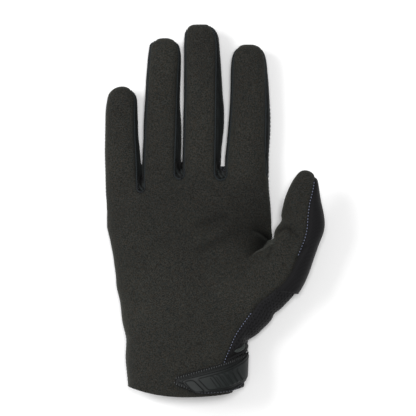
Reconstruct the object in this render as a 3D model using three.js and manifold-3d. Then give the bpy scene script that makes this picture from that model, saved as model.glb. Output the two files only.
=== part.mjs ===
// A right-hand long-finger cycling glove, lying on its back with the palm up.
// Millimetres. +Y runs to the fingertips, +X to the thumb and +Z is up, off the palm.
// The glove is one hollow form, outer skin less inner skin, cut along its seams into panels.
import * as THREE from 'three';
import { mergeVertices } from 'three/addons/utils/BufferGeometryUtils.js';
import Module from 'manifold-3d';

const wasm = await Module();
wasm.setup();

// Fabric, rubber and the clearance that parts them
const fabricWall = 1.6;
const seamGap = 0.3;
const strapThickness = 1.8;
const patchThickness = 1.2;
const ribHeight = 0.5;
const hookPadThickness = 1.2;

// The hand of the glove, from the cuff's hem to the finger crotches
const palmLength = 135;
const palmThickness = 31;
const knuckleThickness = 19.8;
const wristWidth = 73;
const wristThickness = 37;
const crotchDepth = 12.5;        // how far a finger crotch slopes forward from palm to back
const littleCrotchDrop = 7;    // the little finger's crotch sits this much nearer the wrist
const palmDip = 2.4;           // the hollow in the middle of the palm
const restFlat = 1.5;          // how far its round underside is pressed flat on the table
const hemBow = 8;              // how much longer the cuff is at its middle
const cuffDepth = 35;          // the back cuff, from hem to its seam

// The fingers. A length runs from the crotches to the tip.
const littleLength = 64;
const littleWidth = 20.4;
const littleThickness = 16.5;
const ringLength = 87.2;
const ringWidth = 23.2;
const ringThickness = 18.5;
const middleLength = 95.6;
const middleWidth = 24;
const middleThickness = 19.5;
const indexLength = 83;
const indexWidth = 26.4;
const indexThickness = 19.5;
const littleGap = 2;           // bare gap between the roots of the little and ring fingers
const middleGap = 1.5;
const indexGap = 2.7;
const leftInset = 0.8;         // the side strip's seam, in from a finger's left edge
const fingerRise = 3.5;        // the fingertips curl up off the surface by this

// The thumb, along its own bent axis
const thumbRise = 96.4;        // from its root in the heel of the hand to its tip, along Y
const thumbSpread = 48.7;      // its tip's reach sideways from its root
const thumbLift = 12;          // how far its tip stands above its root
const thumbWidth = 31;
const thumbThickness = 27;

// The closure strap round the wrist
const strapWidth = 25;
const strapReach = 41;         // the tab, from the wrist's thumb edge across the palm side
const strapTail = 42;          // the other end, from the same edge across the back
const patchMargin = 3;         // the strap's border round its rubber patch
const ribCount = 6;
const ribWidth = 1.4;

const overshoot = 12;          // cutters run past what they cut
const superPower = 2.4;        // squareness of the cross-sections
const handSides = 36;
const fingerSides = 16;
const crotchSteps = 6;

// From the little finger to the index finger. lean: the tip's shift sideways. rightInset:
// the side strip's seam, in from the right edge. Both are shares of the finger's width.
const fingers = [
  { name: 'little', length: littleLength, width: littleWidth, thickness: littleThickness,
    gap: littleGap, lean: -0.03, rightInset: 0.1 },
  { name: 'ring', length: ringLength, width: ringWidth, thickness: ringThickness,
    gap: middleGap, lean: 0.085, rightInset: 0.14 },
  { name: 'middle', length: middleLength, width: middleWidth, thickness: middleThickness,
    gap: indexGap, lean: -0.04, rightInset: 0.18 },
  { name: 'index', length: indexLength, width: indexWidth, thickness: indexThickness,
    gap: 0, lean: 0.02, rightInset: 0.12 },
];

// Sections of the hand. along: share of palmLength from the hem. spread: 0 at wrist width,
// 1 at knuckle width. level: 2 at wrist thickness, 1 at palm thickness, 0 at knuckle
// thickness. lean: sideways shift as a share of the knuckle width.
const handRows = [
  { along: -0.06, spread: -0.09, level: 2.05, lean: -0.012 },
  { along: 0.07, spread: -0.04, level: 2.0, lean: -0.015 },
  { along: 0.17, spread: 0.0, level: 1.95, lean: -0.0195 },
  { along: 0.25, spread: 0.03, level: 1.8, lean: -0.015 },
  { along: 0.35, spread: 0.4, level: 1.55, lean: 0.022 },
  { along: 0.44, spread: 0.72, level: 1.32, lean: 0.047 },
  { along: 0.53, spread: 0.9, level: 1.16, lean: 0.049 },
  { along: 0.62, spread: 0.88, level: 1.07, lean: 0.026 },
  { along: 0.71, spread: 0.95, level: 0.96, lean: 0.016 },
  { along: 0.8, spread: 1.02, level: 0.74, lean: 0.005 },
  { along: 0.88, spread: 1.01, level: 0.46, lean: 0.0 },
  { along: 0.95, spread: 1.0, level: 0.18, lean: -0.004 },
  { along: 1.0, spread: 0.985, level: 0.0, lean: -0.006 },
];

// The web beyond the last section, sloping from the palm side down to the back.
// along: share of crotchDepth. height: share of knuckleThickness. narrow: how far it draws
// in at each side, as a share of the little finger's width.
const webRows = [
  { along: 0.35, height: 0.78, narrow: 0.15 },
  { along: 0.7, height: 0.52, narrow: 0.4 },
  { along: 1.0, height: 0.24, narrow: 0.6 },
];

// One finger profile serves all four. along: share of its length. width and thick: shares
// of its width and thickness. rise: share of fingerRise. inset: share of its seam insets.
const fingerRows = [
  { along: -0.22, width: 0.82, thick: 0.8, rise: 0.0, inset: 0.0 },
  { along: 0.0, width: 1.0, thick: 1.0, rise: 0.0, inset: 1.0 },
  { along: 0.22, width: 1.0, thick: 1.0, rise: 0.02, inset: 1.5 },
  { along: 0.42, width: 0.985, thick: 0.97, rise: 0.1, inset: 1.35 },
  { along: 0.6, width: 0.93, thick: 0.94, rise: 0.3, inset: 1.0 },
  { along: 0.76, width: 0.895, thick: 0.9, rise: 0.58, inset: 0.75 },
  { along: 0.88, width: 0.84, thick: 0.83, rise: 0.8, inset: 0.45 },
  { along: 0.945, width: 0.745, thick: 0.68, rise: 0.92, inset: 0.1 },
  { along: 0.985, width: 0.49, thick: 0.43, rise: 0.98, inset: -0.4 },
];

// Sections of the thumb. along: share of thumbRise. side: share of thumbSpread. width and
// thick: shares of its width and thickness. lift: share of thumbLift. seam: where the seam
// with the thumb's back lies, as a share of the half width to the right of the axis.
const thumbRows = [
  { along: 0.0, side: 0.0, width: 0.82, thick: 0.74, lift: 0.0, seam: 0.5 },
  { along: 0.11, side: 0.216, width: 1.0, thick: 1.0, lift: 0.08, seam: 0.3 },
  { along: 0.263, side: 0.49, width: 1.0, thick: 1.02, lift: 0.25, seam: 0.36 },
  { along: 0.338, side: 0.66, width: 1.0, thick: 0.98, lift: 0.4, seam: 0.32 },
  { along: 0.489, side: 0.81, width: 0.96, thick: 0.9, lift: 0.58, seam: 0.37 },
  { along: 0.585, side: 0.897, width: 0.89, thick: 0.84, lift: 0.68, seam: 0.39 },
  { along: 0.675, side: 0.95, width: 0.87, thick: 0.82, lift: 0.76, seam: 0.3 },
  { along: 0.79, side: 0.953, width: 0.745, thick: 0.77, lift: 0.86, seam: 0.46 },
  { along: 0.88, side: 0.969, width: 0.61, thick: 0.68, lift: 0.94, seam: 0.7 },
  { along: 0.935, side: 0.982, width: 0.47, thick: 0.55, lift: 0.97, seam: 0.88 },
  { along: 0.98, side: 0.994, width: 0.28, thick: 0.34, lift: 1.0, seam: 1.05 },
  { along: 1.0, side: 1.0, width: 0.08, thick: 0.1, lift: 1.0, seam: 3.0 },
];

// Folds pressed into the palm side, by place as shares of knuckle width and palm length.
// depth is a share of palmDip, reach a share of the knuckle width.
const folds = [
  { fromX: 0.01, fromY: 0.74, toX: 0.32, toY: 0.835, depth: 0.5, reach: 0.035 },
  { fromX: 0.38, fromY: 0.6, toX: 0.55, toY: 0.725, depth: 1.0, reach: 0.03 },
];

// The strap's tab, from its tip on the palm side to the thumb edge of the wrist. along:
// share of strapReach. low and high: its edges, as shares of strapWidth above strapY.
const strapRows = [
  { along: 0.0, low: -0.52, high: -0.42 },
  { along: 0.03, low: -0.59, high: -0.385 },
  { along: 0.09, low: -0.67, high: -0.35 },
  { along: 0.18, low: -0.74, high: -0.31 },
  { along: 0.3, low: -0.77, high: -0.255 },
  { along: 0.5, low: -0.73, high: -0.15 },
  { along: 0.77, low: -0.63, high: 0.04 },
  { along: 0.9, low: -0.57, high: 0.18 },
  { along: 0.98, low: -0.51, high: 0.42 },
  { along: 1.0, low: -0.5, high: 0.5 },
];

const { clamp, lerp: mix, smoothstep } = THREE.MathUtils;
const spot = (x, y, z) => new THREE.Vector3(x, y, z);

// A column of a table, read at any place between its rows
function tableValue(rows, key, along) {
  let i = 1;
  while (i < rows.length - 1 && rows[i].along < along) i += 1;
  const [a, b] = [rows[i - 1], rows[i]];
  return mix(a[key], b[key], clamp((along - a.along) / (b.along - a.along), 0, 1));
}

// Places that follow from the driving dimensions
const sum = (values) => values.reduce((total, value) => total + value, 0);
const knuckleWidth = sum(fingers.map((finger) => finger.width + finger.gap));
const hemY = -palmLength;
const cuffSeamY = hemY + cuffDepth;
const strapY = cuffSeamY - strapWidth / 2 - 3 * seamGap;
const cuffLift = strapThickness + seamGap;     // the cuff lies on the strap's tail
const reachY = Math.max(...fingers.map((finger) => finger.length)) + overshoot;

let fingerLeft = -knuckleWidth / 2;
fingers.forEach((finger, k) => {
  finger.rootX = fingerLeft + finger.width / 2;
  finger.rootY = k === 0 ? -littleCrotchDrop : 0;
  fingerLeft += finger.width + finger.gap;
});
const indexFinger = fingers.at(-1);

// Solids

function toSolid(points, triangles) {
  const bare = new THREE.BufferGeometry();
  bare.setAttribute('position', new THREE.Float32BufferAttribute(points, 3));
  bare.setIndex(triangles);
  const merged = mergeVertices(bare, 1e-4);
  const faces = Uint32Array.from(merged.index.array);
  const vertProperties = Float32Array.from(merged.getAttribute('position').array);
  const solid = new wasm.Manifold(new wasm.Mesh({ numProp: 3, vertProperties, triVerts: faces }));
  if (solid.volume() > 0) return solid;
  for (let i = 0; i < faces.length; i += 3) [faces[i], faces[i + 1]] = [faces[i + 1], faces[i]];
  return new wasm.Manifold(new wasm.Mesh({ numProp: 3, vertProperties, triVerts: faces }));
}

// Solid through rings of points, with a fan over each end
function loft(rings) {
  const count = rings[0].length;
  const points = rings.flat();
  const faces = [];
  for (let r = 0; r + 1 < rings.length; r += 1) {
    for (let i = 0; i < count; i += 1) {
      const a = r * count + i;
      const b = r * count + ((i + 1) % count);
      faces.push(a, b, b + count, a, b + count, a + count);
    }
  }
  const last = points.length - count;
  for (const [ring, start, turned] of [[rings[0], 0, true], [rings.at(-1), last, false]]) {
    const hub = points.length;
    points.push(ring.reduce((total, point) => total.add(point), spot(0, 0, 0)).divideScalar(count));
    for (let i = 0; i < count; i += 1) {
      const [a, b] = [start + i, start + ((i + 1) % count)];
      faces.push(hub, turned ? b : a, turned ? a : b);
    }
  }
  return toSolid(points.flatMap((point) => point.toArray()), faces);
}

// Solid between two grids of points, one over the other
function slab(upper, lower) {
  const rows = upper.length;
  const columns = upper[0].length;
  const under = rows * columns;
  const faces = [];
  const quad = (a, b, c, d) => faces.push(a, b, c, a, c, d);
  for (let r = 0; r + 1 < rows; r += 1) {
    for (let c = 0; c + 1 < columns; c += 1) {
      const a = r * columns + c;
      quad(a, a + 1, a + columns + 1, a + columns);
      quad(under + a, under + a + columns, under + a + columns + 1, under + a + 1);
    }
  }
  const rim = [];
  for (let c = 0; c < columns - 1; c += 1) rim.push(c);
  for (let r = 0; r < rows - 1; r += 1) rim.push(r * columns + columns - 1);
  for (let c = columns - 1; c > 0; c -= 1) rim.push((rows - 1) * columns + c);
  for (let r = rows - 1; r > 0; r -= 1) rim.push(r * columns);
  rim.forEach((a, i) => {
    const b = rim[(i + 1) % rim.length];
    quad(a, under + a, under + b, b);
  });
  return toSolid([...upper.flat(), ...lower.flat()].flatMap((point) => point.toArray()), faces);
}

// Solid that carries an outline in X and Y straight up
function column(outline) {
  const shape = new THREE.Shape(outline.map(([x, y]) => new THREE.Vector2(x, y)));
  const depth = wristThickness + thumbThickness + 4 * overshoot;
  const geometry = new THREE.ExtrudeGeometry(shape, { depth, bevelEnabled: false });
  geometry.translate(0, 0, -overshoot);
  const points = geometry.getAttribute('position').array;
  return toSolid(points, Array.from({ length: points.length / 3 }, (_, i) => i));
}

const join = (solids) => solids.reduce((total, solid) => total.add(solid));
const block = (x0, x1, y0, y1) => column([[x0, y0], [x1, y0], [x1, y1], [x0, y1]]);

// A rounded-square section, as offsets across and up from its centre
function sectionPoint(turn, sides, halfWidth, halfHeight) {
  const angle = (turn / sides) * 2 * Math.PI;
  const [c, s] = [Math.cos(angle), Math.sin(angle)];
  const bend = 2 / superPower;
  return [
    Math.max(halfWidth, 0.3) * Math.sign(c) * Math.abs(c) ** bend,
    Math.max(halfHeight, 0.3) * Math.sign(s) * Math.abs(s) ** bend,
  ];
}

function ringOf(sides, pointAt) {
  return Array.from({ length: sides }, (_, turn) => pointAt(turn));
}

// The form of the hand. skin is 0 on the outside of the cloth, fabricWall on its inside,
// and less than 0 on what lies over it.

function floorAt(y) {
  return cuffLift * (1 - smoothstep(y, cuffSeamY, cuffSeamY + cuffDepth / 2));
}

function dentAt(x, y) {
  const middle = Math.hypot(x / (knuckleWidth * 0.3), (y - hemY - palmLength * 0.62) / (palmLength * 0.2));
  let depth = palmDip * Math.exp(-middle * middle);
  for (const fold of folds) {
    const from = new THREE.Vector2(fold.fromX * knuckleWidth, hemY + fold.fromY * palmLength);
    const line = new THREE.Vector2(fold.toX * knuckleWidth, hemY + fold.toY * palmLength).sub(from);
    const point = new THREE.Vector2(x, y).sub(from);
    const share = clamp(point.dot(line) / line.lengthSq(), 0, 1);
    const away = point.distanceTo(line.multiplyScalar(share)) / (fold.reach * knuckleWidth);
    depth += fold.depth * palmDip * Math.exp(-away * away);
  }
  return depth;
}

function handSection(y) {
  const along = (y - hemY) / palmLength;
  const level = tableValue(handRows, 'level', along);
  return {
    y,
    centre: tableValue(handRows, 'lean', along) * knuckleWidth,
    half: mix(wristWidth, knuckleWidth, tableValue(handRows, 'spread', along)) / 2,
    top: level > 1
      ? mix(palmThickness, wristThickness, level - 1)
      : mix(knuckleThickness, palmThickness, level),
  };
}

function handPoint(turn, section, skin) {
  const halfHeight = (section.top + restFlat) / 2;
  const [u, v] = sectionPoint(turn, handSides, section.half - skin, halfHeight - skin);
  const x = section.centre + u;
  const upper = clamp(v / halfHeight, 0, 1);
  const floor = floorAt(section.y);
  const z = floor + section.top - halfHeight + v - dentAt(x, section.y) * upper * upper;
  const outward = smoothstep(-x, knuckleWidth * 0.1, knuckleWidth * 0.42);
  const drop = outward * smoothstep(section.y, hemY * 0.3, 0);
  return spot(x, section.y - littleCrotchDrop * drop, Math.max(z, floor + skin));
}

function handForm(skin) {
  const sections = handRows.map((row) => handSection(hemY + row.along * palmLength));
  const last = sections.at(-1);
  for (const row of webRows) {
    const half = last.half - row.narrow * fingers[0].width;
    const top = row.height * knuckleThickness;
    sections.push({ ...last, y: row.along * crotchDepth - skin, half, top });
  }
  sections[0].y -= 2 * skin;
  return loft(sections.map((section) => ringOf(handSides, (turn) => handPoint(turn, section, skin))));
}

function fingerForm(finger, skin) {
  const rows = [...fingerRows, { ...fingerRows.at(-1), along: 1, width: 0.14, thick: 0.12 }];
  return loft(rows.map((row) => ringOf(fingerSides, (turn) => {
    const halfHeight = row.thick * finger.thickness / 2;
    const [u, v] = sectionPoint(turn, fingerSides, row.width * finger.width / 2 - skin, halfHeight - skin);
    const middle = (finger.thickness - restFlat) / 2 + row.rise * fingerRise;
    const y = finger.rootY + row.along * (finger.length - skin);
    const lean = finger.lean * finger.width * Math.max(row.along, 0);
    return spot(finger.rootX + lean + u, y, Math.max(middle + v, skin));
  })));
}

// The thumb's axis starts in the heel of the hand and bends up alongside the index finger
const thumbRoot = spot(wristWidth * 0.327, hemY + palmLength * 0.32, wristThickness * 0.45);

function thumbSections(skin) {
  const sections = thumbRows.map((row) => ({
    ...row,
    middle: thumbRoot.clone().add(spot(
      row.side * thumbSpread,
      row.along * (thumbRise - skin),
      row.lift * thumbLift,
    )),
  }));
  sections.forEach((section, i) => {
    const before = sections[Math.max(i - 1, 0)].middle;
    const after = sections[Math.min(i + 1, sections.length - 1)].middle;
    const ahead = after.clone().sub(before).setZ(0).normalize();
    section.right = spot(ahead.y, -ahead.x, 0);
  });
  return sections;
}

function thumbForm(skin) {
  return loft(thumbSections(skin).map((section) => ringOf(fingerSides, (turn) => {
    const halfWidth = section.width * thumbWidth / 2 - skin;
    const halfHeight = section.thick * thumbThickness / 2 - skin;
    const [u, v] = sectionPoint(turn, fingerSides, halfWidth, halfHeight);
    const point = section.middle.clone().addScaledVector(section.right, u);
    return point.setZ(Math.max(point.z + v, floorAt(point.y) + skin));
  })));
}

function wholeForm(skin) {
  return join([handForm(skin), ...fingers.map((finger) => fingerForm(finger, skin)), thumbForm(skin)]);
}

// The cutting patterns, seen from above

function fingerEdge(finger, row, side) {
  return finger.rootX + (finger.lean * row.along + side * row.width / 2) * finger.width;
}

// The slit at the thumb side of the cuff: its top, its foot at the hem and its far corner
const slitTop = [wristWidth * 0.314, hemY + cuffDepth * 0.64];
const slitFoot = [wristWidth * 0.44, hemY - overshoot];
const slitSide = [wristWidth * 0.48, cuffSeamY - cuffDepth * 0.1];

// The palm panel runs up and down each finger, round each crotch, then down the thumb's
// seam to the wrist slit. trim draws it in from its neighbours.
function palmPattern(trim) {
  const outline = [[-knuckleWidth, hemY - overshoot], [-knuckleWidth, reachY]];
  const rows = fingerRows.filter((row) => row.along >= 0);
  const leftSeam = (finger, row) => fingerEdge(finger, row, -1) + leftInset * row.inset + trim;
  const rightSeam = (finger, row) => (
    fingerEdge(finger, row, 1) - finger.rightInset * finger.width * row.inset - trim
  );
  fingers.forEach((finger, k) => {
    const rowY = (row) => finger.rootY + row.along * finger.length;
    if (k > 0) outline.push(...rows.map((row) => [leftSeam(finger, row), rowY(row)]));
    const tipX = finger.rootX + finger.lean * finger.width;
    const tipY = finger.rootY + finger.length + overshoot;
    outline.push([tipX - finger.width * 0.45, tipY], [tipX + finger.width * 0.45, tipY]);
    outline.push(...rows.toReversed().map((row) => [rightSeam(finger, row), rowY(row)]));
    const next = fingers[k + 1];
    if (!next) return;
    const [from, to] = [rightSeam(finger, rows[0]), leftSeam(next, rows[0])];
    const round = (to - from) / 2;
    for (let i = 1; i < crotchSteps; i += 1) {
      const angle = Math.PI * (1 + i / crotchSteps);
      const y = mix(finger.rootY, next.rootY, i / crotchSteps);
      outline.push([(from + to) / 2 + round * Math.cos(angle), y + round * Math.sin(angle)]);
    }
  });
  const indexEdge = fingerEdge(indexFinger, { along: 0, width: 1 }, 1);
  outline.push([indexEdge + overshoot / 4, indexFinger.rootY - trim]);
  const sections = thumbSections(0);
  const tip = sections.at(-1).middle;
  for (const side of [-0.35, 0.2]) outline.push([tip.x + side * thumbWidth, tip.y + overshoot]);
  for (const section of sections.slice(0, -1).toReversed()) {
    const offset = section.seam * section.width * thumbWidth / 2 - trim;
    const point = section.middle.clone().addScaledVector(section.right, offset);
    outline.push([point.x, point.y]);
  }
  outline.push([slitTop[0] - trim, slitTop[1]], [slitFoot[0] - trim, slitFoot[1]]);
  return outline;
}

// The thumb's back, the mesh panel at the side of the wrist below it, and the open slit
function sidePatterns(trim) {
  const sections = thumbSections(0);
  const [heel, ball, joint] = [sections[0].middle, sections[2].middle, sections[4].middle];
  const far = knuckleWidth;
  const tipY = sections.at(-1).middle.y + overshoot;
  const crotch = [knuckleWidth * 0.52, joint.y + thumbWidth * 0.13];
  const hinge = [knuckleWidth * 0.44, ball.y - thumbWidth * 0.02];
  const notch = [ball.x + thumbWidth * 0.57, ball.y - thumbWidth * 0.17];
  return {
    thumb: [
      [crotch[0] + trim, crotch[1]], [knuckleWidth * 0.46 + trim, mix(crotch[1], hinge[1], 0.6)],
      [hinge[0] + trim, hinge[1] + trim], [notch[0], notch[1] + trim],
      [far, notch[1] + trim], [far, tipY], [crotch[0] + overshoot / 2, tipY],
    ],
    wrist: [
      [hinge[0] + trim, hinge[1] - trim], [wristWidth * 0.46 + trim, heel.y + thumbWidth * 0.1],
      [wristWidth * 0.36 + trim, cuffSeamY + trim], [far, cuffSeamY + trim],
      [far, notch[1] - trim], [notch[0], notch[1] - trim],
    ],
    gore: [
      [slitTop[0] + trim, slitTop[1] + trim], [slitSide[0], slitSide[1] + trim], [far, slitSide[1] + trim],
      [far, cuffSeamY + overshoot / 4], [wristWidth * 0.36 + trim, cuffSeamY + overshoot / 4],
    ],
    slit: [slitTop, slitFoot, [far, hemY - overshoot], [far, slitSide[1]], slitSide],
  };
}

// Everything below the seam that joins the palm side to the back
function belowSeam(gap) {
  const level = (x, y) => {
    const hand = mix(fingers[0].thickness * 0.42, palmThickness * 0.36, smoothstep(-y, 0, palmLength * 0.3));
    const wrist = mix(hand, wristThickness * 0.5, smoothstep(-y, palmLength * 0.5, palmLength * 0.8));
    const thumb = thumbRoot.z + thumbLift * 0.5 - thumbThickness * 0.1;
    const outward = smoothstep(x, knuckleWidth * 0.47, knuckleWidth * 0.6);
    const upward = smoothstep(y, thumbRoot.y, thumbRoot.y + thumbRise * 0.3);
    return mix(wrist, thumb, outward * upward) + gap;
  };
  const places = (from, to, steps) => Array.from({ length: steps + 1 }, (_, i) => mix(from, to, i / steps));
  const xs = places(-knuckleWidth, knuckleWidth * 1.1, 20);
  const ys = places(hemY - overshoot, reachY, 16);
  return slab(
    ys.map((y) => xs.map((x) => spot(x, y, level(x, y)))),
    ys.map((y) => xs.map((x) => spot(x, y, -overshoot))),
  );
}

// All of the glove that lies inside the curved hem of the cuff
function insideHem() {
  const centre = handSection(hemY).centre;
  const far = [2 * knuckleWidth, hemY + hemBow * 2];
  const hem = ringOf(15, (i) => {
    const u = mix(-1.1, 1.1, i / 14);
    return [centre + u * wristWidth / 2, hemY + hemBow * u * u];
  });
  return column([...hem, far, [far[0], reachY], [-far[0], reachY], [-far[0], far[1]]]);
}

// The strap follows the facets of the cuff. turn counts them from the thumb edge, up
// across the palm side and, below 0, down and across the back.

function strapPoint(turn, y, lift) {
  const section = handSection(y);
  const first = Math.floor(turn);
  return handPoint(first, section, -lift).lerp(handPoint(first + 1, section, -lift), turn - first);
}

function turnAt(x) {
  let [low, high] = [0, handSides / 2];
  for (let i = 0; i < 40; i += 1) {
    const middle = (low + high) / 2;
    if (strapPoint(middle, strapY, 0).x > x) low = middle;
    else high = middle;
  }
  return low;
}

const wristEdge = strapPoint(0, strapY, 0).x;
const tabTurn = (along) => turnAt(wristEdge - strapReach * (1 - along));
const tabShare = (turn) => (turn <= 0 ? 1 : 1 - (wristEdge - strapPoint(turn, strapY, 0).x) / strapReach);
const strapLift = (turn) => seamGap
  + (hookPadThickness + seamGap) * (1 - smoothstep(tabShare(turn), 0.68, 0.92));

function strapTurns(from, to, extra = []) {
  const turns = [from, to, ...extra.filter((turn) => turn < from && turn > to)];
  for (let turn = Math.ceil(to + 0.05); turn < from - 0.05; turn += 1) turns.push(turn);
  return turns.sort((a, b) => b - a).filter((turn, i, all) => i === 0 || all[i - 1] - turn > 0.02);
}

function strapSheet(turns, inset, lift, thickness) {
  const grid = (raise) => turns.map((turn) => {
    const low = strapY + tableValue(strapRows, 'low', tabShare(turn)) * strapWidth + inset;
    const high = strapY + tableValue(strapRows, 'high', tabShare(turn)) * strapWidth - inset;
    return [0, 0.35, 0.7, 1].map((share) => strapPoint(turn, mix(low, high, share), lift(turn) + raise));
  });
  return slab(grid(thickness), grid(0));
}

function strapBand() {
  const tail = -turnAt(wristEdge - strapTail);
  const turns = strapTurns(tabTurn(0), tail, strapRows.map((row) => tabTurn(row.along)));
  return strapSheet(turns, 0, strapLift, strapThickness);
}

function strapPatch() {
  const base = (turn) => strapLift(turn) + strapThickness + seamGap;
  const [tip, foot] = [0.16, 0.86];
  const panel = strapSheet(strapTurns(tabTurn(tip), tabTurn(foot)), patchMargin, base, patchThickness);
  const top = (turn) => base(turn) + patchThickness / 2;
  const ribs = Array.from({ length: ribCount }, (_, i) => {
    const along = mix(tip + 0.16, foot - 0.08, i / (ribCount - 1));
    const half = ribWidth / strapReach / 2;
    const turns = [tabTurn(along - half), tabTurn(along + half)];
    return strapSheet(turns, patchMargin * 1.6, top, patchThickness / 2 + ribHeight);
  });
  return join([panel, ...ribs]);
}

function hookPad() {
  const turns = strapTurns(tabTurn(0.12), tabTurn(0.6));
  return strapSheet(turns, patchMargin / 2, () => seamGap, hookPadThickness);
}

// Cutting the cloth

const outside = wholeForm(0);
const cloth = outside.subtract(wholeForm(fabricWall)).intersect(insideHem());
const below = belowSeam(0);
const belowTrimmed = belowSeam(seamGap);

const palm = cloth.intersect(column(palmPattern(seamGap))).subtract(belowTrimmed);
const rest = cloth.subtract(column(palmPattern(0)).subtract(below));
const cut = sidePatterns(0);
const trimmed = sidePatterns(seamGap);
const thumbBack = rest.intersect(column(trimmed.thumb));
const gore = column(trimmed.gore).subtract(belowTrimmed);
const wristGusset = rest.intersect(column(trimmed.wrist).add(gore));
const handRest = rest.subtract(join([cut.thumb, cut.wrist].map(column)));
const fingerStrips = handRest.subtract(belowTrimmed).subtract(column(cut.slit));

function stripBetween(left, right) {
  return fingerStrips.intersect(block(left.rootX, right, hemY * 0.4, reachY));
}

const back = handRest.intersect(below);
const backPanel = back.intersect(block(-2 * knuckleWidth, 2 * knuckleWidth, cuffSeamY + seamGap, reachY));
const backCuff = back.intersect(block(-2 * knuckleWidth, 2 * knuckleWidth, hemY - overshoot, cuffSeamY));

const glove = new THREE.Group();

function addPiece(name, solid, color, roughness) {
  const { vertProperties, triVerts } = solid.getMesh();
  const geometry = new THREE.BufferGeometry();
  geometry.setAttribute('position', new THREE.BufferAttribute(vertProperties, 3));
  geometry.setIndex(new THREE.BufferAttribute(triVerts, 1));
  geometry.computeVertexNormals();
  const material = new THREE.MeshStandardMaterial({ color, roughness, metalness: 0 });
  const mesh = new THREE.Mesh(geometry, material);
  mesh.name = name;
  glove.add(mesh);
}

addPiece('palm_panel', palm, 0x2c2c2a, 0.95);
addPiece('back_panel', backPanel, 0x1c1d22, 0.8);
addPiece('thumb_back', thumbBack, 0x1d1c21, 0.7);
addPiece('wrist_gusset', wristGusset, 0x1c1c22, 0.85);
addPiece('cuff_back', backCuff, 0x23282a, 0.85);
fingers.slice(0, -1).forEach((finger, k) => {
  const next = fingers[k + 1];
  addPiece(`fourchette_${finger.name}_${next.name}`, stripBetween(finger, next.rootX), 0x121616, 0.9);
});
addPiece('index_side_gusset', stripBetween(indexFinger, knuckleWidth), 0x121616, 0.9);
addPiece('wrist_strap', strapBand(), 0x24292a, 0.6);
addPiece('strap_patch', strapPatch(), 0x303534, 0.5);
addPiece('strap_hook_pad', hookPad(), 0x101112, 0.95);

const bounds = new THREE.Box3().setFromObject(glove);
const centre = bounds.getCenter(spot(0, 0, 0));
glove.position.set(-centre.x, -centre.y, -bounds.min.z);

export default glove;
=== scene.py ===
# A long-finger cycling glove, lying on its back with the palm up.
# Shapes are worked out in millimetres on the glove's own pattern, where Y = 0 is the line of
# the finger crotches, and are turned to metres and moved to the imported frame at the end.
import bpy
import math
import numpy as np
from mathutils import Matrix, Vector
from mathutils.bvhtree import BVHTree
from mathutils.kdtree import KDTree


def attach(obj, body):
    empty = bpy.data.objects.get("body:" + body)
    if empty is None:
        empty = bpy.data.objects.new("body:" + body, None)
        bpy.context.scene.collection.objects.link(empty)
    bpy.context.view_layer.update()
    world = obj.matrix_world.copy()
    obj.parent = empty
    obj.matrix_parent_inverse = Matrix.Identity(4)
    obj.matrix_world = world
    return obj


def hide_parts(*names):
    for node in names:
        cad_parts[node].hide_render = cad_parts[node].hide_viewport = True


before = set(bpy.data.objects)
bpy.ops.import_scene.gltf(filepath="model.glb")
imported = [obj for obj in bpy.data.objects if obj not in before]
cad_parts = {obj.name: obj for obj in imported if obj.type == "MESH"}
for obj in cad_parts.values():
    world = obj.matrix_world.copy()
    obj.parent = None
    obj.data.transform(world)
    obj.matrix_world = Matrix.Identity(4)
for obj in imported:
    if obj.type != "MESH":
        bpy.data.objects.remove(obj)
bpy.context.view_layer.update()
print("frame loaded")

hand = {
    "shiftX": -16.497,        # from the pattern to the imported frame
    "shiftY": 19.700,
    "palmLength": 135,
    "palmThickness": 31,
    "knuckleThickness": 19.8,
    "knuckleWidth": 100.2,
    "wristWidth": 73,
    "wristThickness": 37,
    "crotchDepth": 8.8,
    "littleDrop": 7,          # the little finger's crotch sits nearer the wrist
    "indexDrop": 1.8,         # and so does the web beside the index finger
    "palmDip": 2.4,
    "restFlat": 1.5,          # how far the round underside is pressed on the table
    "hemBow": 5.9,
    "hemTrim": 1.4,
    "cuffDepth": 35,
    "cuffLift": 2.1,          # the cuff lies on the strap's tail
    "squareness": 2.4,
    "wall": 1.15,             # thickness of the cloth
    "voxel": 0.9,
    "smoothing": 14,
    "ease": 0.3,              # the smoothing's shrinkage, given back
}
hand["hemY"] = -hand["palmLength"]
hand["cuffSeamY"] = hand["hemY"] + hand["cuffDepth"]

# along: share of palm length from the hem. spread: 0 at wrist width, 1 at knuckle width.
# level: 2 at wrist thickness, 1 at palm thickness, 0 at knuckle thickness.
handRows = [
    # along, spread, level, lean
    (-0.06, -0.1, 2.05, -0.007), (0.07, -0.055, 2.0, -0.0125), (0.17, 0.002, 1.95, -0.017),
    (0.25, 0.045, 1.8, -0.006), (0.35, 0.462, 1.55, 0.0235), (0.44, 0.713, 1.32, 0.042),
    (0.53, 0.915, 1.16, 0.0445), (0.62, 0.89, 1.07, 0.028), (0.71, 0.955, 0.96, 0.018),
    (0.8, 1.04, 0.74, 0.009), (0.88, 1.02, 0.46, 0.006), (0.95, 1.01, 0.18, 0.001),
    (1.0, 0.99, 0.0, -0.002),
]
webRows = [(0.0, 1.0, 0.0), (0.35, 0.78, 0.15), (0.7, 0.52, 0.4), (1.0, 0.24, 0.6)]

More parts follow.
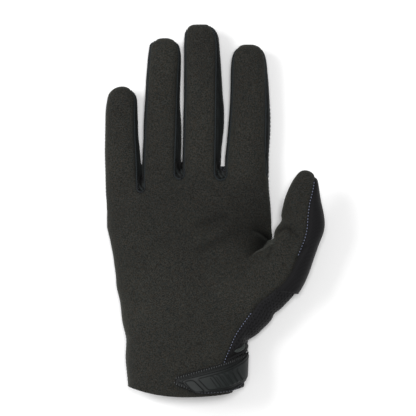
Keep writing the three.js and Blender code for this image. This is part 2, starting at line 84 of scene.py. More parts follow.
# Each finger: its edges and its two palm seams, in mm either side of its root line
fingers = [
    {"name": "little", "rootX": -39.9, "rootY": -7, "length": 64, "width": 20.4, "thick": 16.5,
     "rows": [  # along, left, right, seamLeft, seamRight
        (-0.3, -8.5, 8.0, -9, 8), (0.0, -10.8, 10.5, -10.7, 8.6), (0.18, -11.1, 10.5, -11.0, 8.2),
        (0.36, -11.4, 9.8, -11.3, 7.7), (0.54, -11.5, 8.7, -11.4, 7.2),
        (0.72, -11.4, 8.1, -11.3, 7.0),
        (0.87, -10.2, 7.9, -10.2, 7.3), (0.92, -9.4, 7.0, -9.5, 7.0), (0.95, -8.2, 5.6, -8.4, 5.8),
        (0.985, -5.4, 2.8, -6, 4), (1.0, -2.6, 0.4, -5, 3)]},
    {"name": "ring", "rootX": -16.1, "rootY": 0, "length": 87.2, "width": 23.2, "thick": 18.5,
     "rows": [
        (-0.22, -9.5, 9.5, -9.6, 9), (0.0, -12.1, 11.4, -11.2, 7.9),
        (0.18, -11.8, 11.5, -11.0, 8.3),
        (0.27, -11.4, 11.7, -10.7, 8.5), (0.36, -11.2, 11.6, -10.5, 8.8),
        (0.45, -10.8, 11.2, -10.1, 9.0),
        (0.54, -10.4, 10.7, -9.7, 9.2), (0.63, -10.0, 10.7, -9.3, 9.5),
        (0.72, -9.6, 11.0, -8.9, 9.9),
        (0.8, -9.1, 11.4, -8.4, 10.4), (0.87, -8.7, 11.5, -7.9, 10.8),
        (0.92, -8.1, 10.9, -7.6, 10.6),
        (0.95, -7.7, 10.2, -7.2, 9.9), (0.985, -4.4, 6.9, -4.6, 8), (1.0, -1.4, 3.9, -3.4, 7)]},
    {"name": "middle", "rootX": 9.0, "rootY": 0, "length": 95.6, "width": 24, "thick": 19.5,
     "rows": [
        (-0.2, -9.8, 9.8, -9, 9), (0.0, -12.2, 11.4, -11.4, 7.9), (0.1, -12.3, 11.3, -11.6, 7.9),
        (0.18, -12.1, 11.5, -11.5, 8.0), (0.27, -11.8, 12.4, -11.2, 8.1),
        (0.36, -11.6, 13.0, -11.0, 8.2),
        (0.45, -11.4, 13.0, -10.9, 8.3), (0.54, -11.1, 12.2, -10.6, 8.4),
        (0.63, -11.0, 11.6, -10.5, 8.5),
        (0.72, -11.1, 11.2, -10.6, 8.7), (0.8, -11.2, 10.9, -10.7, 8.7),
        (0.87, -11.2, 10.5, -10.7, 8.7),
        (0.92, -11.0, 9.9, -10.5, 8.2), (0.95, -10.7, 8.7, -10.5, 7.4),
        (0.985, -8.6, 5.7, -9.6, 5.4),
        (1.0, -6.2, 3.1, -8.4, 4.2)]},
    {"name": "index", "rootX": 36.9, "rootY": 0, "length": 83, "width": 26.4, "thick": 19.5,
     "rows": [
        (-0.24, -10.8, 11.0, -10, 10), (0.0, -14.0, 13.1, -13.1, 12.0),
        (0.1, -14.0, 13.1, -13.0, 11.8),
        (0.18, -13.5, 13.3, -12.6, 11.5), (0.27, -12.7, 13.7, -11.9, 11.4),
        (0.36, -11.9, 14.0, -11.1, 11.4),
        (0.45, -11.2, 14.0, -10.5, 11.5), (0.54, -10.7, 13.7, -10.0, 11.6),
        (0.63, -10.4, 13.3, -9.7, 11.5),
        (0.72, -10.2, 12.8, -9.5, 11.5), (0.8, -10.1, 12.2, -9.4, 11.5),
        (0.87, -9.8, 11.6, -9.2, 11.3),
        (0.92, -9.1, 10.7, -8.6, 10.6), (0.95, -8.1, 9.7, -8.0, 9.9), (0.985, -5.4, 6.8, -6, 8),
        (1.0, -2.8, 3.8, -5, 7)]},
]
slotFeet = [-5.9, 3.3, 3.2]        # where each slot between two fingers turns round
fingerHeights = [  # along, share of thickness, share of the tip's rise
    (-0.3, 0.8, 0.0), (-0.2, 0.82, 0.0), (0.0, 1.0, 0.0), (0.22, 1.0, 0.02), (0.42, 0.97, 0.1),
    (0.6, 0.94, 0.3), (0.76, 0.9, 0.58), (0.88, 0.83, 0.8), (0.945, 0.68, 0.92),
    (0.985, 0.43, 0.98),
    (1.0, 0.2, 1.0),
]
fingerRise = 3.5

thumb = {
    "root": (73 * 0.327, -135 + 135 * 0.32, 37 * 0.45),
    "rise": 96.4, "spread": 48.7, "lift": 12, "width": 31, "thick": 27,
    "rows": [  # along, side, width, thick, lift, seam
        (0.0, 0.04, 0.86, 0.74, 0.0, 0.44), (0.11, 0.245, 1.05, 1.0, 0.08, 0.24),
        (0.195, 0.36, 0.955, 1.01, 0.16, 0.29),
        (0.25, 0.505, 1.08, 1.02, 0.23, 0.26), (0.338, 0.685, 1.03, 0.98, 0.4, 0.3),
        (0.489, 0.82, 0.97, 0.9, 0.58, 0.35), (0.585, 0.902, 0.91, 0.84, 0.68, 0.34),
        (0.675, 0.96, 0.87, 0.82, 0.76, 0.25), (0.79, 0.963, 0.74, 0.77, 0.86, 0.38),
        (0.88, 0.985, 0.61, 0.68, 0.94, 0.58), (0.935, 1.01, 0.5, 0.55, 0.97, 0.68),
        (0.98, 1.035, 0.35, 0.34, 1.0, 0.8), (1.0, 1.05, 0.14, 0.12, 1.0, 2.0)],
}


# Curves and noise

def smoothstep(value, low, high):
    share = np.clip((np.asarray(value, float) - low) / (high - low), 0, 1)
    return share * share * (3 - 2 * share)


def mix(a, b, share):
    return a + (b - a) * share


def smoothCurve(xs, ys, at):
    # Through the rows of a table, without overshooting them
    xs, ys, at = (np.asarray(v, float) for v in (xs, ys, at))
    step = np.diff(xs)
    rise = np.diff(ys) / step
    slope = np.zeros(len(xs))
    same = rise[:-1] * rise[1:] > 0
    w1, w2 = (2 * step[1:] + step[:-1])[same], (step[1:] + 2 * step[:-1])[same]
    inner = np.zeros(len(rise) - 1)
    inner[same] = (w1 + w2) / (w1 / rise[:-1][same] + w2 / rise[1:][same])
    slope[1:-1] = inner
    slope[0], slope[-1] = rise[0], rise[-1]
    k = np.clip(np.searchsorted(xs, at) - 1, 0, len(step) - 1)
    t = np.clip((at - xs[k]) / step[k], 0, 1)
    return ((2 * t**3 - 3 * t**2 + 1) * ys[k] + (t**3 - 2 * t**2 + t) * step[k] * slope[k]
            + (3 * t**2 - 2 * t**3) * ys[k + 1] + (t**3 - t**2) * step[k] * slope[k + 1])


def column(rows, index):
    return [row[index] for row in rows]


def cloudNoise(points, size, seed=0):
    # Smooth noise from -1 to 1, with lumps of the given size
    p = points / size + seed * 17.31
    base = np.floor(p).astype(np.int64)
    t = p - base
    t = t * t * (3 - 2 * t)
    total = np.zeros(len(p))
    for dx in (0, 1):
        for dy in (0, 1):
            for dz in (0, 1):
                cell = base + (dx, dy, dz)
                key = (cell[:, 0] * 73856093) ^ (cell[:, 1] * 19349663) ^ (cell[:, 2] * 83492791)
                key = (key ^ (key >> 13)) * 1274126177
                value = ((key ^ (key >> 16)) & 0xFFFF) / 32767.5 - 1
                weight = (np.where(dx, t[:, 0], 1 - t[:, 0]) * np.where(dy, t[:, 1], 1 - t[:, 1])
                          * np.where(dz, t[:, 2], 1 - t[:, 2]))
                total += value * weight
    return total


def pathDistance(points, path):
    # Distance in X and Y to an open path, which side it is on, and the share of the way along
    path = np.asarray(path, float)
    ends, starts = path[1:], path[:-1]
    lengths = np.linalg.norm(ends - starts, axis=1)
    run = np.concatenate([[0], np.cumsum(lengths)]) / lengths.sum()
    best = np.full(len(points), 1e9)
    side = np.zeros(len(points))
    share = np.zeros(len(points))
    for i, (a, b) in enumerate(zip(starts, ends)):
        d = b - a
        t = np.clip(((points[:, :2] - a) @ d) / (d @ d), 0, 1)
        away = points[:, :2] - (a + t[:, None] * d)
        distance = np.hypot(away[:, 0], away[:, 1])
        near = distance < best
        best[near] = distance[near]
        side[near] = np.sign(d[0] * away[near, 1] - d[1] * away[near, 0])
        share[near] = mix(run[i], run[i + 1], t[near])
    return best, side, share


def insidePattern(points, outline):
    # Distance in X and Y to a closed outline, above 0 inside it
    outline = np.asarray(outline, float)
    x, y = points[:, 0], points[:, 1]
    best = np.full(len(points), 1e18)
    inside = np.zeros(len(points), bool)
    for a, b in zip(outline, np.roll(outline, -1, axis=0)):
        d = b - a
        length = d @ d
        if length == 0:
            continue
        t = np.clip(((x - a[0]) * d[0] + (y - a[1]) * d[1]) / length, 0, 1)
        best = np.minimum(best, (x - a[0] - t * d[0]) ** 2 + (y - a[1] - t * d[1]) ** 2)
        if a[1] != b[1]:
            crosses = (a[1] > y) != (b[1] > y)
            inside ^= crosses & (x < d[0] * (y - a[1]) / d[1] + a[0])
    return np.where(inside, 1, -1) * np.sqrt(best)


# Lofts of the hand, the fingers and the thumb

def sectionRing(halfWidth, halfHeight, sides):
    angle = np.arange(sides) / sides * 2 * math.pi
    c, s = np.cos(angle), np.sin(angle)
    bend = 2 / hand["squareness"]
    across = np.sign(c) * np.abs(c) ** bend
    up = np.sign(s) * np.abs(s) ** bend
    return np.outer(halfWidth, across), np.outer(halfHeight, up)


def floorAt(y):
    return hand["cuffLift"] * (1 - smoothstep(y, hand["cuffSeamY"],
                                              hand["cuffSeamY"] + hand["cuffDepth"] / 2))


def dentAt(x, y):
    acrossShare = x / (hand["knuckleWidth"] * 0.3)
    alongShare = (y - hand["hemY"] - hand["palmLength"] * 0.62) / (hand["palmLength"] * 0.2)
    return hand["palmDip"] * np.exp(-(acrossShare**2) - alongShare**2)


def handSections(y):
    along = (np.asarray(y, float) - hand["hemY"]) / hand["palmLength"]
    rows = column(handRows, 0)
    spread, level, lean = (smoothCurve(rows, column(handRows, k), along) for k in (1, 2, 3))
    half = mix(hand["wristWidth"], hand["knuckleWidth"], spread) / 2
    top = np.where(
        level > 1,
        mix(hand["palmThickness"], hand["wristThickness"], level - 1),
        mix(hand["knuckleThickness"], hand["palmThickness"], level),
    )
    return lean * hand["knuckleWidth"], half, top


def gapMiddle(k, y):
    # The middle of the gap on the right of a finger
    middle = 0
    for finger, edge in ((fingers[k], 2), (fingers[k + 1], 1)):
        along = np.clip((y - finger["rootY"]) / finger["length"], 0, 0.95)
        middle = middle + (finger["rootX"] + smoothCurve(column(finger["rows"], 0),
                                                         column(finger["rows"], edge), along)) / 2
    return middle


def handLoft():
    sides = 120
    y = hand["hemY"] + np.linspace(-0.06, 1.0, 96) * hand["palmLength"]
    centre, half, top = handSections(y)
    beyond = np.linspace(0, 1, 12)[1:]
    height = smoothCurve(column(webRows, 0), column(webRows, 1), beyond)
    narrow = smoothCurve(column(webRows, 0), column(webRows, 2), beyond)
    y = np.concatenate([y, beyond * hand["crotchDepth"]])
    centre = np.concatenate([centre, np.full(len(beyond), centre[-1])])
    half = np.concatenate([half, half[-1] - narrow * fingers[0]["width"]])
    top = np.concatenate([top, height * hand["knuckleThickness"]])
    halfHeight = (top + hand["restFlat"]) / 2
    u, v = sectionRing(half, halfHeight, sides)
    x = centre[:, None] + u
    upper = np.clip(v / halfHeight[:, None], 0, 1)
    floor = floorAt(y)[:, None]
    z = floor + (top - halfHeight)[:, None] + v - dentAt(x, y[:, None]) * upper**2
    outward = smoothstep(-x, hand["knuckleWidth"] * 0.1, hand["knuckleWidth"] * 0.42)
    drop = outward * smoothstep(y, hand["hemY"] * 0.3, 0)[:, None]
    beside = np.exp(-(((x - gapMiddle(2, 8.0)) / 5.5) ** 2)) * smoothstep(y, 0,
        hand["crotchDepth"])[:, None]
    return np.stack([x, y[:, None] - hand["littleDrop"] * drop - hand["indexDrop"] * beside,
                     np.maximum(z, floor)], axis=2)


def tipSpaced(start, count):
    # Stations along a finger, closer together towards its tip
    share = np.linspace(0, 1, count)
    return start + (1 - start) * (1 - (1 - share) ** 1.8)


def fingerLoft(finger):
    rows = finger["rows"]
    along = tipSpaced(rows[0][0], 80)
    left = smoothCurve(column(rows, 0), column(rows, 1), along)
    right = smoothCurve(column(rows, 0), column(rows, 2), along)
    thick = smoothCurve(column(fingerHeights, 0), column(fingerHeights, 1), along) * finger["thick"]
    rise = smoothCurve(column(fingerHeights, 0), column(fingerHeights, 2), along) * fingerRise
    u, v = sectionRing((right - left) / 2, thick / 2, 56)
    x = finger["rootX"] + ((left + right) / 2)[:, None] + u
    y = np.broadcast_to((finger["rootY"] + along * finger["length"])[:, None], x.shape)
    middle = ((finger["thick"] - hand["restFlat"]) / 2 + rise)[:, None]
    return np.stack([x, y, np.maximum(middle + v, 0)], axis=2)


def thumbAxis(along):
    rows = thumb["rows"]
    side, width, thick, lift, seam = (smoothCurve(column(rows, 0), column(rows, k),
                                                  along) for k in range(1, 6))
    axis = np.stack([
        thumb["root"][0] + side * thumb["spread"],
        thumb["root"][1] + along * thumb["rise"],
        thumb["root"][2] + lift * thumb["lift"],
    ], axis=1)
    ahead = np.gradient(axis[:, :2], axis=0)
    for _ in range(6):
        ahead[1:-1] = (ahead[:-2] + 2 * ahead[1:-1] + ahead[2:]) / 4
    ahead /= np.linalg.norm(ahead, axis=1)[:, None]
    return axis, np.stack([ahead[:, 1], -ahead[:, 0]], axis=1), width, thick, seam


def thumbLoft():
    axis, right, width, thick, _ = thumbAxis(tipSpaced(0.0, 90))
    u, v = sectionRing(width * thumb["width"] / 2, thick * thumb["thick"] / 2, 64)
    x = axis[:, 0, None] + right[:, 0, None] * u
    y = axis[:, 1, None] + right[:, 1, None] * u
    return np.stack([x, y, np.maximum(axis[:, 2, None] + v, floorAt(y))], axis=2)


def loftFaces(rings, start):
    rows, sides = rings.shape[:2]
    r, i = np.meshgrid(np.arange(rows - 1), np.arange(sides), indexing="ij")
    a, b = start + r * sides + i, start + r * sides + (i + 1) % sides
    quads = np.stack([a, b, b + sides, a + sides], axis=2).reshape(-1, 4).tolist()
    quads.append([start + k for k in range(sides)][::-1])
    quads.append([start + (rows - 1) * sides + k for k in range(sides)])
    return quads


spread = {"step": 1.6, "from": 3, "to": 19}      # the fingers stand apart while the skin is made


def remeshed(lofts, voxel):
    # One closed skin round all the lofts
    points, faces = [], []
    for rings in lofts:
        faces += loftFaces(rings, sum(len(p) for p in points))
        points.append(rings.reshape(-1, 3))
    mesh = bpy.data.meshes.new("handForm")
    mesh.from_pydata(np.concatenate(points).tolist(), [], faces)
    piece = bpy.data.objects.new("handForm", mesh)
    bpy.context.collection.objects.link(piece)
    remesh = piece.modifiers.new("skin", "REMESH")
    remesh.mode = "VOXEL"
    remesh.voxel_size = voxel
    done = piece.evaluated_get(bpy.context.evaluated_depsgraph_get()).to_mesh()
    co = np.empty(len(done.vertices) * 3)
    done.vertices.foreach_get("co", co)
    done.calc_loop_triangles()
    tris = np.empty(len(done.loop_triangles) * 3, np.int64)
    done.loop_triangles.foreach_get("vertices", tris)
    edges = np.empty(len(done.edges) * 2, np.int64)
    done.edges.foreach_get("vertices", edges)
    bpy.data.objects.remove(piece)
    bpy.data.meshes.remove(mesh)
    return co.reshape(-1, 3), tris.reshape(-1, 3), edges.reshape(-1, 2)


def relax(points, edges, share, weight=None):
    # One step of each point towards, or from, the middle of its neighbours
    a, b = edges[:, 0], edges[:, 1]
    count = np.bincount(np.concatenate([a, b]), minlength=len(points))
    total = np.stack([
        np.bincount(a, points[b, k], len(points)) + np.bincount(b, points[a, k],
            len(points)) for k in range(3)
    ], axis=1)
    move = (total / np.maximum(count, 1)[:, None] - points) * share
    return points + (move if weight is None else move * weight[:, None])


def pointNormals(points, tris):
    a, b, c = (points[tris[:, k]] for k in range(3))
    face = np.cross(b - a, c - a)
    normals = np.zeros_like(points)
    for k in range(3):
        for axis in range(3):
            normals[:, axis] += np.bincount(tris[:, k], face[:, axis], len(points))
    return normals / np.maximum(np.linalg.norm(normals, axis=1), 1e-12)[:, None]


def uniqueEdges(tris):
    pairs = np.concatenate([tris[:, [0, 1]], tris[:, [1, 2]], tris[:, [2, 0]]])
    return np.unique(np.sort(pairs, axis=1), axis=0)


fingerLofts = []
for k, finger in enumerate(fingers):
    rings = fingerLoft(finger)
    rings[..., 0] += (k - 1.5) * spread["step"] * smoothstep(rings[..., 1], spread["from"],
        spread["to"])
    fingerLofts.append(rings)
skin, skinTris, skinEdges = remeshed([handLoft(), thumbLoft()] + fingerLofts, hand["voxel"])
for _ in range(hand["smoothing"]):
    skin = relax(skin, skinEdges, 0.5)
    skin = relax(skin, skinEdges, -0.52)
skin = skin + pointNormals(skin, skinTris) * hand["ease"]
apart = spread["step"] * smoothstep(skin[:, 1], spread["from"], spread["to"])
whichFinger = sum((skin[:, 0] > gapMiddle(k, skin[:, 1]) + (k - 1) * apart).astype(int)
                  for k in range(3))
skin[:, 0] -= (whichFinger - 1.5) * apart

# The thumb's root melts into the palm
rootBlend = (smoothstep(skin[:, 0], 6, 22) * (1 - smoothstep(skin[:, 1], -44, -34))
             * smoothstep(skin[:, 1], -112, -96) * smoothstep(skin[:, 2], 8, 16))
fingerBlend = (smoothstep(skin[:, 1], -16, -6) * (1 - smoothstep(skin[:, 1], 2, 8))
               * smoothstep(skin[:, 2], 11, 14)) * 0.6
for _ in range(50):
    skin = relax(skin, skinEdges, 0.5, np.maximum(rootBlend, fingerBlend))
print("form of the hand:", len(skin), "points")


def splitFaces(tris, split, made):
    # Each triangle cut up by the new points on its split edges
    count = split.sum(1)
    parts = [tris[count == 0]]
    one = np.flatnonzero(count == 1)
    k = split[one].argmax(1)
    t = [tris[one, (k + j) % 3] for j in range(3)]
    m = made[one, k]
    parts += [np.stack([t[0], m, t[2]], 1), np.stack([m, t[1], t[2]], 1)]
    two = np.flatnonzero(count == 2)
    k = (split[two] & np.roll(split[two], 1, axis=1)).argmax(1)
    t = [tris[two, (k + j) % 3] for j in range(3)]
    m, n = made[two, k], made[two, (k + 2) % 3]
    parts += [np.stack([t[0], m, n], 1), np.stack([m, t[1], t[2]], 1), np.stack([m, t[2], n], 1)]
    t, m = tris[count == 3], made[count == 3]
    parts += [np.stack(part, 1) for part in (
        (t[:, 0], m[:, 0], m[:, 2]), (m[:, 0], t[:, 1], m[:, 1]), (m[:, 2], m[:, 1], t[:, 2]),
        (m[:, 0], m[:, 1], m[:, 2]))]
    return np.concatenate(parts)


def refined(points, tris, region, longest):
    # Long edges inside a region are halved
    a, b = tris, np.roll(tris, -1, axis=1)
    low, high = np.minimum(a, b), np.maximum(a, b)
    split = region[a] & region[b] & (np.linalg.norm(points[a] - points[b], axis=2) > longest)
    key = low * len(points) + high
    keys = np.unique(key[split])
    p, q = keys // len(points), keys % len(points)
    made = np.where(split, len(points) + np.searchsorted(keys, key), -1)
    return np.concatenate([points, (points[p] + points[q]) / 2]), splitFaces(tris, split, made)


# Creases in the worn leather. The left of each path is the side that dips.
creases = [
    # dark: how much painted shade darkens the suede in and beside the crease
    {"path": [(35.0, -51.0), (38.3, -48.6), (40.3, -47.0), (42.5, -45.4), (46.8, -43.3),
              (50.2, -40.4), (53.4, -36.8)],
     "depth": 4.4, "reach": 4.6, "step": 0.75, "lip": 1.0, "over": 1.1, "from": 0.6, "to": 0.14,
     "dark": 1.0},
    {"path": [(37.0, -31.5), (40.5, -32.2), (43.7, -33.6), (47.4, -36.1), (50.5, -37.9)],
     "depth": 2.1, "reach": 3.4, "step": 1.3, "lip": 0.35, "over": 0.3, "from": 0.5, "to": 0.14,
     "dark": 0.8},
    {"path": [(50.2, -51.5), (50.0, -47.5), (51.3, -43.5), (53.5, -40.5)],
     "depth": 1.3, "reach": 2.2, "step": 1.6, "lip": 0.2, "over": 0.0, "from": 0.3, "to": 0.3,
     "dark": 0.4},
    {"path": [(2.5, -31.5), (10.5, -27.4), (19.2, -23.9), (29, -23.4)],
     "depth": 0.9, "reach": 3.0, "step": 3.0, "lip": 0.4, "over": 0.0, "from": 0.25, "to": 0.2,
     "dark": 0.2, "soft": 2.2},
    {"path": [(3, -46), (14, -41), (24.2, -35.7), (32.5, -30)],
     "depth": 0.8, "reach": 3.4, "step": 3.0, "lip": 0.3, "over": 0.0, "from": 0.25, "to": 0.2,
     "dark": 0.2, "soft": 2.6},
    {"path": [(56.0, -34.5), (57.5, -32.0), (60.5, -30.5), (64, -32.5), (67.5, -37)],
     "depth": 1.3, "reach": 1.8, "step": 1.2, "lip": 0.35, "over": 0.0, "from": 0.15, "to": 0.45,
     "dark": 0.55},
    {"path": [(60.0, -28.5), (63.0, -31.0), (66.5, -35.0), (69, -40)],
     "depth": 1.1, "reach": 1.3, "step": 1.6, "lip": 0.3, "over": 0.0, "from": 0.25, "to": 0.45,
     "dark": 0.45},
    {"path": [(73.8, -39.8), (71.0, -44.0), (67.5, -48.5), (66, -52)],
     "depth": 1.0, "reach": 1.6, "step": 2.0, "lip": 0.4, "over": 0.0, "from": 0.25, "to": 0.35,
     "dark": 0.45},
]
# The palm falls away beside the thumb's fold, and the thumb's crotch is cut deeper
hollow = {"centre": (49.5, -34.0), "reach": 10.5, "depth": 5.2}
thumbCrotch = {"place": (53.0, -32.5), "wide": 3.0, "long": 7.0, "drop": 3.6}
# The back of the thumb ends in a small step over the mesh at its side
thumbStep = {"from": (44, -67.0), "to": (67.5, -71.6), "depth": 1.6, "reach": 15}
# Small swells and notches in the outline: the thumb below and above its joint, the palm beside
# it, the wrist above the strap, and the mesh
edgePushes = [  # place, reach, push to the right
    ((55.0, -30.4), 3.2, -1.1), ((57.6, -26.2), 3.0, 1.4), ((50.6, -32.0), 3.2, 0.9),
    ((36.5, -104.6), 3.2, 1.1), ((36.8, -99.4), 2.4, -1.2), ((59.5, -78.3), 5.0, -1.1),
    ((50.8, -86.3), 4.0, 1.2), ((45.5, -92.0), 4.0, -0.9),
]


def taperOf(crease, share):
    taper = np.ones(len(share))
    if crease["from"] > 0:
        taper *= smoothstep(share, 0, crease["from"])
    if crease["to"] > 0:
        taper *= 1 - smoothstep(share, 1 - crease["to"], 1)
    return taper


def leanOf(crease):
    # The way the standing lip leans over the dip
    path = np.array(crease["path"], float)
    ahead = path[-1] - path[0]
    return crease["over"] * np.array([-ahead[1], ahead[0]]) / np.linalg.norm(ahead)


def pressCreases(points, normals):
    facing = smoothstep(normals[:, 2], 0.0, 0.4)
    # the crotch's walls sink with its top
    standing = np.maximum(facing, smoothstep(points[:, 2], 4, 18))
    move = np.zeros_like(points)
    for i, crease in enumerate(creases):
        distance, side, share = pathDistance(points, crease["path"])
        near = (standing if i < 3 else facing) * taperOf(crease, share)
        reach = np.where(side > 0, crease["reach"], crease["step"])
        move[:, 2] -= crease["depth"] * near * np.exp(-((distance / reach) ** 2))
        bulge = np.where(side < 0, np.exp(-(((distance - 2.6) / 2.4) ** 2)), 0)
        move[:, 2] += crease["lip"] * near * bulge
        lean = near * np.exp(-((distance / 2.0) ** 2)) * np.where(side < 0, 1.0, 0.1)
        move[:, :2] += lean[:, None] * leanOf(crease)
    distance, side, share = pathDistance(points, creases[0]["path"])
    away = np.linalg.norm(points[:, :2] - hollow["centre"], axis=1) / hollow["reach"]
    past = np.where(side > 0, smoothstep(distance, -0.2, 2.5),
                    0) * (1 - smoothstep(points[:, 0], 49.5, 54))
    move[:, 2] -= hollow["depth"] * np.exp(-(away**2)) * past * standing
    x, y = thumbCrotch["place"]
    near = np.exp(-(((points[:, 0] - x) / thumbCrotch["wide"]) ** 2)
                  - ((points[:, 1] - y) / thumbCrotch["long"]) ** 2)
    move[:, 1] -= thumbCrotch["drop"] * near * smoothstep(points[:, 2], 1, 5)
    for place, reach, push in edgePushes:
        away = np.linalg.norm(points[:, :2] - place, axis=1) / reach
        move[:, 0] += push * np.exp(-(away**2)) * smoothstep(points[:, 2], 8, 14)
    start, end = np.array(thumbStep["from"]), np.array(thumbStep["to"])
    ahead = (end - start) / np.linalg.norm(end - start)
    below = (points[:, :2] - start) @ np.array([ahead[1], -ahead[0]])
    near = smoothstep(below, -0.2, 0.7) * (1 - smoothstep(below, 0.7, thumbStep["reach"]))
    near *= smoothstep(points[:, 0], 50, 58) * smoothstep(points[:, 2], 2,
                                                          6) * smoothstep(normals[:, 0], -0.1, 0.3)
    move -= normals * (thumbStep["depth"] * near)[:, None]
    return move


# Painted shade on the palm, broadest in its hollow and towards the thumb: middle, reach across and
# along, how much darker
palmShadePatches = [
    ((37, -24), (22, 19), 0.29), ((8, -28), (34, 26), 0.13), ((36, -34), (8, 6), 0.14),
    ((21, -53), (9, 5), 0.1),
    ((42, -62), (12, 12), 0.07), ((-14, -5), (6, 8), 0.06),
]
# The tops of the folds across the palm catch the light
brightFolds = [([(-0.6, -40.5), (24.2, -30.8)], 2.4, 0.18),
               ([(11.8, -47.9), (22.9, -41.9)], 2.0, 0.15)]


def palmShadeAndHighlight(points):
    # Painted shade on the suede, darker in and beside its creases, in the palm's hollow and beside
    # the thumb's fold, with painted highlight on the tops of the folds across the palm
    x, y = points[:, 0], points[:, 1]
    # painted shade, a little darker towards the middle and index fingers
    broadShading = 0.07 * smoothstep(x, -10, 30) * smoothstep(y, -4, 14)
    for middle, reach, loss in palmShadePatches:
        broadShading += loss * np.exp(-(((x - middle[0]) / reach[0]) ** 2)
                              - ((y - middle[1]) / reach[1]) ** 2)
    for path, reach, gain in brightFolds:
        distance, _, share = pathDistance(points, path)
        broadShading -= gain * np.exp(-((distance / reach) ** 2)) * np.sin(math.pi * np.clip(share, 0.08,
            0.92))
    loss = np.zeros(len(points))
    # painted shade in and beside each crease
    for crease in creases:
        distance, side, share = pathDistance(points, np.array(crease["path"]) + leanOf(crease))
        wide = (0.42 * np.exp(-((distance / 1.1) ** 2))
                + 0.52 * np.exp(-((distance / crease["reach"] / 1.2) ** 2)))
        mark = np.where(side > 0, wide, np.exp(-((distance / 0.4) ** 2)))
        if "soft" in crease:
            mark = np.exp(-((distance / crease["soft"]) ** 2))
        loss = np.maximum(loss, crease["dark"] * mark * taperOf(crease, share))
    # painted shadow on the palm beside the thumb's fold
    distance, side, _ = pathDistance(points, creases[0]["path"])
    shade = np.exp(-(((points[:, 0] - 48.0) / 6.5) ** 2) - ((points[:, 1] + 37.8) / 4.6) ** 2)
    loss += 0.9 * (1 - loss) * shade * np.where(side > 0, smoothstep(distance, 0, 1.5), 0)
    return loss + (1 - loss) * broadShading


def crotchFoot(k):
    # The foot of the slot between a finger and the next: its middle and its half width
    left, right = fingers[k], fingers[k + 1]
    ends = []
    for finger, edge in ((left, 4), (right, 3)):
        share = (slotFeet[k] - finger["rootY"]) / finger["length"]
        ends.append(finger["rootX"] + smoothCurve(column(finger["rows"], 0),
                                                  column(finger["rows"], edge), [share])[0])
    return (ends[0] + ends[1]) / 2, slotFeet[k], (ends[1] - ends[0]) / 2


pleats = {"pitch": 2.6, "height": 0.7, "slant": 0.55, "sink": 3.6, "levels": (4.0, 11.0)}


def slotAt(points, k):
    # How far a place is inside the slot's foot, how far past its foot, and the wave of its pleats
    x, y, half = crotchFoot(k)
    dx, dy = points[:, 0] - x, points[:, 1] - y
    away = np.where(dy < 0, np.hypot(dx, dy / 1.15), np.abs(dx))
    inside = (1 - smoothstep(away, half - 1.1, half + 0.1)) * smoothstep(points[:, 2], 3, 7)
    wave = np.cos(2 * math.pi * (dx + pleats["slant"] * dy + 0.35 * np.sin(dy * 1.3 + k))
                  / pleats["pitch"] + k * 1.3)
    return inside, dy, wave * (1 - smoothstep(dy, 1.5, 5)) * smoothstep(dy, -half * 1.15,
        -half * 0.6)


def pressSlots(points):
    # Each slot between two fingers sinks from its foot, with small pleats down the slope.
    # What is low sinks less, so the web never folds over itself.
    move = np.zeros_like(points)
    for k in range(3):
        inside, past, wave = slotAt(points, k)
        near = inside * (1 - smoothstep(past, 5, 10)) * smoothstep(points[:, 2], *pleats["levels"])
        move[:, 2] -= pleats["sink"] * near * smoothstep(past, -crotchFoot(k)[2] * 1.15, 3.0)
        move[:, 2] += pleats["height"] * wave * near
    return move


def closeTo(points):
    near = pathDistance(points, creases[0]["path"])[0] < 7
    near |= pathDistance(points, creases[1]["path"])[0] < 3
    near &= points[:, 2] > 12
    for k in range(3):
        x, y, _ = crotchFoot(k)
        near |= (np.hypot(points[:, 0] - x, points[:, 1] - y) < 6.5) & (points[:, 2] > 4)
    return near


skin, skinTris = refined(skin, skinTris, closeTo(skin), 0.5)
skin, skinTris = refined(skin, skinTris, closeTo(skin), 0.62)
skinEdges = uniqueEdges(skinTris)
normals = pointNormals(skin, skinTris)
ripple = cloudNoise(skin, 22, 1) * 0.3 + cloudNoise(skin, 11, 2) * 0.15
ripple *= smoothstep(skin[:, 2], 1.0, 6.0)
skin = skin + normals * ripple[:, None]
skin = skin + pressCreases(skin, normals)
for _ in range(4):
    skin = relax(skin, skinEdges, 0.5)
    skin = relax(skin, skinEdges, -0.52)
skin = skin + pressSlots(skin)
slotZone = np.maximum.reduce([slotAt(skin, k)[0] for k in range(3)])
for _ in range(3):
    skin = relax(skin, skinEdges, 0.5, slotZone)
skin[:, 2] = np.maximum(skin[:, 2], 0.0)
print("creases pressed in")


# Cutting the skin along its seams

def cutAlong(points, tris, field, active=None):
    # Splits triangles on the line where field is 0, after sliding near points onto it
    value = field(points)
    normals = pointNormals(points, tris)
    near = np.flatnonzero((np.abs(value) < 0.25) & (value != 0))
    if active is not None:
        used = np.zeros(len(points), bool)
        used[tris[active].ravel()] = True
        near = near[used[near]]
    if len(near):
        spot, step = points[near], 0.05
        slope = np.stack([
            (field(spot + step * axis) - field(spot - step * axis)) / (2 * step)
            for axis in np.eye(3)
        ], axis=1)
        slope -= (slope * normals[near]).sum(1)[:, None] * normals[near]
        steep = (slope**2).sum(1)
        good = steep > 0.3
        points = points.copy()
        points[near[good]] -= slope[good] * (value[near[good]] / steep[good])[:, None]
        value = value.copy()
        value[near[good]] = 0
    a = tris
    b = np.roll(tris, -1, axis=1)
    crossing = value[a] * value[b] < 0
    low, high = np.minimum(a, b), np.maximum(a, b)
    key = low * len(points) + high
    if active is not None:
        allowed = np.unique(key[active][crossing[active]])
        crossing &= np.isin(key, allowed)
    keys = np.unique(key[crossing])
    p, q = keys // len(points), keys % len(points)
    share = value[p] / (value[p] - value[q])
    added = points[p] + (points[q] - points[p]) * share[:, None]
    start = len(points)
    points = np.concatenate([points, added])
    made = np.where(crossing, start + np.searchsorted(keys, key), -1)
    return points, splitFaces(tris, crossing, made)


